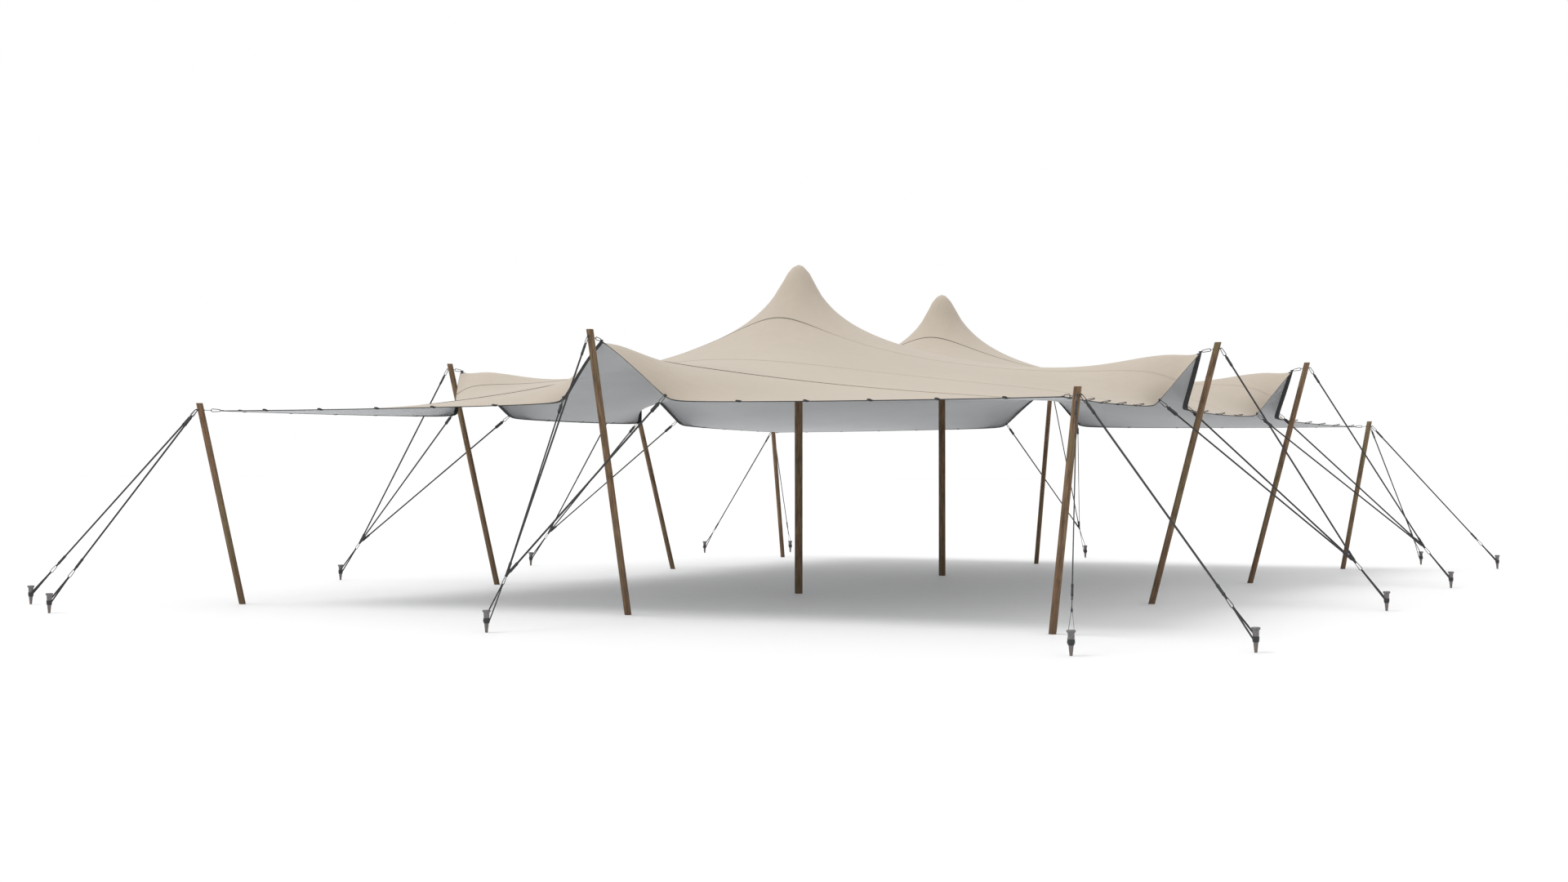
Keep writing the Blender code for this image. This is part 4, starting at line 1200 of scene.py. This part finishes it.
def timber(label, foot, top, height, radius, index, finish):
    """A round post cut level at both ends, slightly uneven, with a few knots."""
    lean = top - foot
    reach = float(np.linalg.norm(lean))
    heading = lean / reach if reach else np.array([1.0, 0.0, 0.0])
    sideways = np.cross(UP, heading)
    body = [(level, 1.0) for level in np.linspace(0.02, height - 0.02, POST_RINGS)]
    rings = POST_END + body + [(height - level, size) for level, size in reversed(POST_END)]
    levels, sizes = np.array(rings).T
    turn = all_round(40)
    generator = np.random.default_rng(index + 11)
    bulge = np.ones((len(levels), len(turn)))
    for wave in range(1, 5):
        phase, drift = generator.uniform(0.0, 2.0 * math.pi, 2)
        swing = wave * turn[None] + phase + levels[:, None] * drift * 0.4
        bulge += POST_UNEVEN / wave * np.sin(swing)
    for _ in range(KNOTS):
        at, level = generator.uniform(0.0, 2.0 * math.pi), generator.uniform(0.25, height - 0.25)
        apart = np.angle(np.exp(1j * (turn - at)))[None]
        near = (apart / KNOT_WIDTH) ** 2 + ((levels[:, None] - level) / KNOT_HEIGHT) ** 2
        bulge += np.exp(-near) * KNOT_RISE
    size = sizes[:, None] * bulge * (radius * POST_SLIM)
    local = np.stack([size * np.cos(turn), size * np.sin(turn)], -1)
    axis = foot + lean * (levels / height)[:, None] + UP * levels[:, None]
    stretch = math.hypot(height, reach) / height
    points = axis[:, None] + heading * (local[..., :1] * stretch) + sideways * local[..., 1:]
    run = np.broadcast_to(levels[:, None, None], local.shape[:2] + (1,))
    lay = np.concatenate([local, run], -1) + UP * (GRAIN_STEP * index)
    shape = Shape()
    shape.add(points, tube_faces(len(levels), len(turn)), lay)
    return shape.piece(f"timber_{label}", [finish], [f"post_{label}"], BAND_SHARP)


def staple(shape, bar_centre, inward):
    """A wire staple standing out of a post; its bar is level and square to inward."""
    side = square_to(UP, inward)
    path = []
    for sign in (-1.0, 1.0):
        leg = bar_centre + side * (sign * STAPLE_HALF_WIDTH)
        pivot = leg + inward * STAPLE_BEND - side * (sign * STAPLE_BEND)
        bend = arc(pivot, side * sign, -inward, STAPLE_BEND, 0, 90, 4)
        run = np.concatenate([[leg + inward * STAPLE_LEG], bend])
        path.append(run if sign < 0 else run[::-1])
    wire(shape, np.concatenate(path), STAPLE_WIRE, UP)


def eye_bolt(shape, tip, outward, post):
    """Ring hooked in the far end of a link, on a rod with a washer that goes into the post."""
    across = square_to(UP, outward)
    near = tip + outward * (LINK_LENGTH - 2 * LINK_WIRE - RING_WIRE - TOUCH_GAP)
    centre = near + outward * RING_RADIUS
    ring = arc(centre, outward, across, RING_RADIUS, 0, RING_OPENS, 22)
    wire(shape, ring, RING_WIRE, np.cross(outward, across), closed=True)
    wire(shape, [centre + outward * RING_RADIUS, post - outward * ROD_DEPTH], RING_WIRE, across)
    face = post - outward * (POST_RADIUS / float(np.dot(levelled(post - centre), outward)))
    turned_along(shape, face - outward * WASHER_OUT, outward, WASHER_PROFILE)


def turned_along(shape, start, direction, profile, sides=24, closed=False):
    """A piece turned about a direction from (radius, distance) pairs."""
    helper = [1.0, 0.0, 0.0] if abs(direction[0]) < 0.8 else [0.0, 1.0, 0.0]
    first = square_to(direction, helper)
    second = np.cross(direction, first)
    turn = all_round(sides)
    circle = first * np.cos(turn)[:, None] + second * np.sin(turn)[:, None]
    radius, levels = np.array(profile).T
    points = start + circle[None] * radius[:, None, None] + direction * levels[:, None, None]
    lay = np.zeros(points.shape)
    lay[..., 0] = run_lengths(profile)[:, None]
    lay[..., 1] = turn * max(radius)
    shape.add(points, tube_faces(len(profile), sides, closed), lay)


def post_fittings(post, finish):
    """Staples for the stays, and the link and eye bolt that hold the hem."""
    shape = Shape()
    for _, at in post.stakes:
        direction = levelled(at - post.top)
        staple(shape, eye_bar(post, direction), -direction)
    tip, outward = link_from_hem(post)
    link(shape, tip, outward, square_to(UP, outward))
    eye_bolt(shape, tip, outward, post_axis(post, post.eye))
    shape.marks = [0] * len(shape.marks)
    return shape.piece(f"fittings_{post.label}", [finish])


# Stakes and stays


def ground_loop(shape, neck, sideways, link_tip, direction, webbing_width):
    """Band round the stake, two legs through a link, their keeper, and the link itself."""
    radii, levels = np.array(STAKE_PROFILE).T
    inner_low, inner_high = np.interp((BAND_BOTTOM, BAND_TOP), levels, radii)
    profile = [(inner_low + TOUCH_GAP, BAND_BOTTOM), (inner_high + TOUCH_GAP, BAND_TOP),
               (inner_high + 0.0030, BAND_TOP), (inner_high + 0.0042, BAND_TOP - 0.004),
               (inner_high + 0.0040, (BAND_TOP + BAND_BOTTOM) / 2),
               (inner_low + 0.0052, BAND_BOTTOM + 0.004), (inner_low + 0.0035, BAND_BOTTOM)]
    turned_along(shape, neck * [1.0, 1.0, 0.0], UP, profile, 36, True)
    radius = LINK_WIRE + 0.0017
    bend = arc(link_tip + direction * LINK_WIRE, sideways, direction, radius, 0, 180, 8)
    knot = link_tip - direction * KNOT_BACK
    legs = []
    for sign in (1.0, -1.0):
        start = neck + sideways * (sign * (inner_high + 0.0055))
        near = knot + sideways * (sign * radius)
        middle = (start + near) / 2 + sideways * (sign * 0.002)
        legs.append(np.array([start - unit(near - start) * 0.010, start, middle, near]))
    web_run(shape, np.concatenate([legs[0], bend, legs[1][::-1]]), square_to(direction, sideways),
            webbing_width, LEG_THICKNESS)
    reach, *section = KNOT_SIZE
    sleeve(shape, knot, knot + direction * reach, sideways, *section)
    link(shape, link_tip, direction, sideways, LINK_LARGE_END, LINK_SMALL_END)


def strap_run(shape, start, far_tip, normal, first_adjuster, stays, far_bulk=1.0):
    """Endless strap round a low wire and the far link's wire, with an adjuster near each end."""
    along, thick = unit(far_tip - start), stays.strap_thickness
    wide = square_to(along, normal)
    high = far_tip - along * (LINK_LENGTH - LINK_WIRE)
    bend_radius = LINK_WIRE + thick / 2 + 0.0002
    reach = float(np.linalg.norm(high - start))
    stops = np.array([STRAP_EASE, 0.2 * reach, 0.5 * reach, 0.8 * reach, reach - STRAP_EASE])
    stops = along * stops[:, None]
    apart = normal * (thick / 2 + 0.0004)
    path = [arc(start, -normal, -along, bend_radius, 0, 180, 8), start + stops + apart,
            arc(high, normal, along, bend_radius, 0, 180, 8), (start + stops - apart)[::-1]]
    web_run(shape, np.concatenate(path), wide, stays.strap_width, thick, closed=True)
    end = far_tip - along * (LINK_LENGTH - STRAP_IN_LINK)
    size = stays.adjuster_length
    far = float(np.linalg.norm(end - start)) - size - HIGH_ADJUSTER
    for away, bulk in ((first_adjuster, 1.0), (far, far_bulk)):
        sleeve(shape, start + along * away, start + along * (away + size), wide,
               *(side * bulk for side in ADJUSTER_SECTION))
    link(shape, far_tip, -along, normal)


def hooked_tip(bar_centre, direction):
    """Outermost point of a link that hangs on a staple's bar and pulls along direction."""
    arc_centre = bar_centre + direction * (LINK_SMALL_END - LINK_WIRE - STAPLE_WIRE - HOOK_GAP)
    return arc_centre - direction * (LINK_SMALL_END + LINK_WIRE)


def stay(post, suffix, at, stays, finishes):
    """Straps from a stake to a post's head and, at a tall post, to both low points beside it."""
    shape = Shape()
    eye = eye_bar(post, at - post.top)
    forward = levelled(eye - at)
    sideways = np.cross(UP, forward)
    neck = at + UP * ((BAND_BOTTOM + BAND_TOP) / 2)
    centre = neck + unit(eye - neck) * CORNER_LINK_DISTANCE
    if post.side:
        centre = at + forward * SIDE_LINK_X + UP * SIDE_LINK_Z
    along = unit(centre - neck)
    low_tip = centre - along * (LINK_LENGTH / 2)
    ground_loop(shape, neck, sideways, low_tip, along, stays.strap_width)
    start = low_tip + along * (LINK_LENGTH - STRAP_IN_LINK)
    if post.side:
        low, high, size = STRAP_BLOCK
        sleeve(shape, start + along * low, start + along * high, sideways, size, size)
    strap_run(shape, start, hooked_tip(eye, -unit(eye - start)), sideways, LOW_ADJUSTER, stays)
    for index, low_point in enumerate(low_points(post)):
        point, normal = on_sheet(flat_place(*low_point, 0.0))
        target = point - normal * PACKED_SKIN / 2
        pull = unit(target - start)
        across = square_to(UP, pull)
        tip = target - pull * TOUCH_GAP
        strap_run(shape, start, tip, across, FAN_ADJUSTER + FAN_ADJUSTER_STEP * index, stays,
                  FAN_ADJUSTER_BULK)
        keeper_loop(shape, tip + pull * 0.012, tip - pull * LINK_WIRE, np.cross(pull, across),
                    LOW_LOOP_WIDTH)
    return shape.piece(f"strap_{post.label}{suffix}", finishes,
                       [f"stay_{post.label}{suffix}"])


def stake(label, place, index, finish):
    """A forged stake with a hammered, flared head."""
    radius, levels = np.array(FORGED_PROFILE).T
    turn = all_round(40)
    generator = np.random.default_rng(index + 101)
    bulge = np.ones((len(levels), len(turn)))
    head = np.clip((levels - STAKE_HEAD_Z) / 0.02, 0.15, 1.0)[:, None]
    for wave in range(2, 8):
        phase = generator.uniform(0.0, 2.0 * math.pi)
        bulge += STAKE_HAMMERED * head * np.sin(wave * turn[None] + phase) / math.sqrt(wave)
    size = radius[:, None] * np.minimum(bulge, STAKE_MOST)
    points = np.stack([place[0] + size * np.cos(turn), place[1] + size * np.sin(turn),
                       np.broadcast_to(levels[:, None], size.shape)], -1)
    shape = Shape()
    shape.add(points, tube_faces(len(levels), len(turn)))
    return shape.piece(f"peg_{label}", [finish], [f"stake_{label}"], STAKE_SHARP)


# Operators


class TENT_OT_stage(bpy.types.Operator):
    """Add the pale floor, the even sky, the soft key light and the photograph's camera"""
    bl_idname = "tent.stage"
    bl_label = "Stage"

    def execute(self, context):
        stage = context.scene.tent.stage
        mesh = bpy.data.meshes.new("floor")
        mesh.from_pydata([(x * FLOOR_HALF, y * FLOOR_HALF, 0)
                          for x, y in ((-1, -1), (1, -1), (1, 1), (-1, 1))], [], [(0, 1, 2, 3)])
        mesh.materials.append(floor_finish(stage.floor_colour))

        world = bpy.data.worlds.new("sky")
        world.use_nodes = True
        sky = world.node_tree.nodes["Background"]
        sky.inputs["Color"].default_value = (1.0, 1.0, 1.0, 1.0)
        sky.inputs["Strength"].default_value = stage.sky_strength
        context.scene.world = world

        key = bpy.data.lights.new("key", "SUN")
        key.energy, key.angle = stage.key_strength, stage.key_width
        camera = bpy.data.cameras.new("camera")
        camera.lens, camera.clip_end = CAMERA_LENS, CAMERA_REACH
        items = {}
        for data, place, turns in ((mesh, (0.0, 0.0, FLOOR_Z), (0.0, 0.0, 0.0)),
                                   (key, (0.0, 0.0, 0.0), KEY_TURN),
                                   (camera, CAMERA_PLACE, CAMERA_TURN)):
            item = items[data.name] = bpy.data.objects.new(data.name, data)
            item.location = place
            item.rotation_euler = [math.radians(turn) for turn in turns]
            context.scene.collection.objects.link(item)
        context.scene.camera = items["camera"]
        context.scene.view_settings.view_transform = "Standard"
        return {"FINISHED"}


class TENT_OT_canopy(bpy.types.Operator):
    """Add the stretched sheet with its seams, hem, tabs and loops"""
    bl_idname = "tent.canopy"
    bl_label = "Canopy"

    def execute(self, context):
        tent = context.scene.tent
        sheet = canopy_sheet(tent.canopy)
        tapes = seam_tapes(tent.canopy)
        band, webbing = hem_band(tent.hem)
        held_by = ["cap_front", "cap_back"] + [f"post_{post.label}" for post in outer_posts()]
        hem_tabs(tent.hem, webbing)
        hem_loops(webbing)
        return {"FINISHED"}


class TENT_OT_posts(bpy.types.Operator):
    """Add the round timber posts, their steel fittings and the finish of the turned heads"""
    bl_idname = "tent.posts"
    bl_label = "Posts"

    def execute(self, context):
        looks = context.scene.tent.posts
        wood = timber_finish(looks.light_wood, looks.dark_wood, looks.weathering)
        steel = bright_steel_finish(looks.steel_colour)
        posts = outer_posts()
        for index, post in enumerate(posts):
            timber(post.label, post.foot, post.top, post.height, POST_RADIUS, index, wood)
            post_fittings(post, steel)
        cap = cap_finish(looks.light_wood, looks.dark_wood)
        height = PEAK_Z - PACKED_SKIN / 2 - CAP_HEIGHT
        for index, (row, sign) in enumerate(ROWS.items(), len(posts)):
            middle = np.array([0.0, sign * BAY_HALF, 0.0])
            timber(f"centre_{row}", middle, middle, height, CENTRE_POST_RADIUS, index, wood)
            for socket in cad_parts[f"cap_{row}"].material_slots:
                socket.link = "OBJECT"
                socket.material = cap
        return {"FINISHED"}


class TENT_OT_stays(bpy.types.Operator):
    """Add the webbing stays with their adjusters and links"""
    bl_idname = "tent.stays"
    bl_label = "Stays"

    def execute(self, context):
        stays = context.scene.tent.stays
        webbing = webbing_finish("stay_strap", stays.webbing_colour, STRAP_STITCHES)
        finishes = [webbing, bpy.data.materials["bright_steel"]]
        for post in outer_posts():
            for suffix, at in post.stakes:
                stay(post, suffix, at, stays, finishes)
        return {"FINISHED"}


class TENT_OT_stakes(bpy.types.Operator):
    """Add the forged ground stakes"""
    bl_idname = "tent.stakes"
    bl_label = "Stakes"

    def execute(self, context):
        looks = context.scene.tent.stakes
        metal = stake_finish(looks.metal_colour, looks.rust_colour)
        stakes = [(post.label + suffix, at) for post in outer_posts() for suffix, at in post.stakes]
        for index, (label, at) in enumerate(stakes):
            stake(label, at, index, metal)
        return {"FINISHED"}


class TENT_PT_pieces(bpy.types.Panel):
    bl_label = "Stretch tent"
    bl_idname = "TENT_PT_pieces"
    bl_space_type = "VIEW_3D"
    bl_region_type = "UI"
    bl_category = "Tent"

    def draw(self, context):
        for group, operator in PANEL_ROWS:
            box = self.layout.box()
            box.operator(operator.bl_idname)
            sizes = getattr(context.scene.tent, group)
            for name in sizes.__annotations__:
                box.prop(sizes, name)


PANEL_ROWS = (("stage", TENT_OT_stage), ("canopy", TENT_OT_canopy), ("hem", TENT_OT_canopy),
              ("posts", TENT_OT_posts), ("stays", TENT_OT_stays), ("stakes", TENT_OT_stakes))
CLASSES = (TENT_PG_canopy, TENT_PG_hem, TENT_PG_posts, TENT_PG_stays, TENT_PG_stakes,
           TENT_PG_stage, TENT_PG_all, TENT_OT_stage, TENT_OT_canopy, TENT_OT_posts,
           TENT_OT_stays, TENT_OT_stakes, TENT_PT_pieces)


def register():
    for item in CLASSES:
        bpy.utils.register_class(item)
    bpy.types.Scene.tent = bpy.props.PointerProperty(type=TENT_PG_all)


def unregister():
    del bpy.types.Scene.tent
    for item in reversed(CLASSES):
        bpy.utils.unregister_class(item)


def main():
    register()
    bpy.ops.tent.stage()
    bpy.ops.tent.canopy()
    bpy.ops.tent.posts()
    bpy.ops.tent.stays()
    bpy.ops.tent.stakes()


if __name__ == "__main__":
    main()
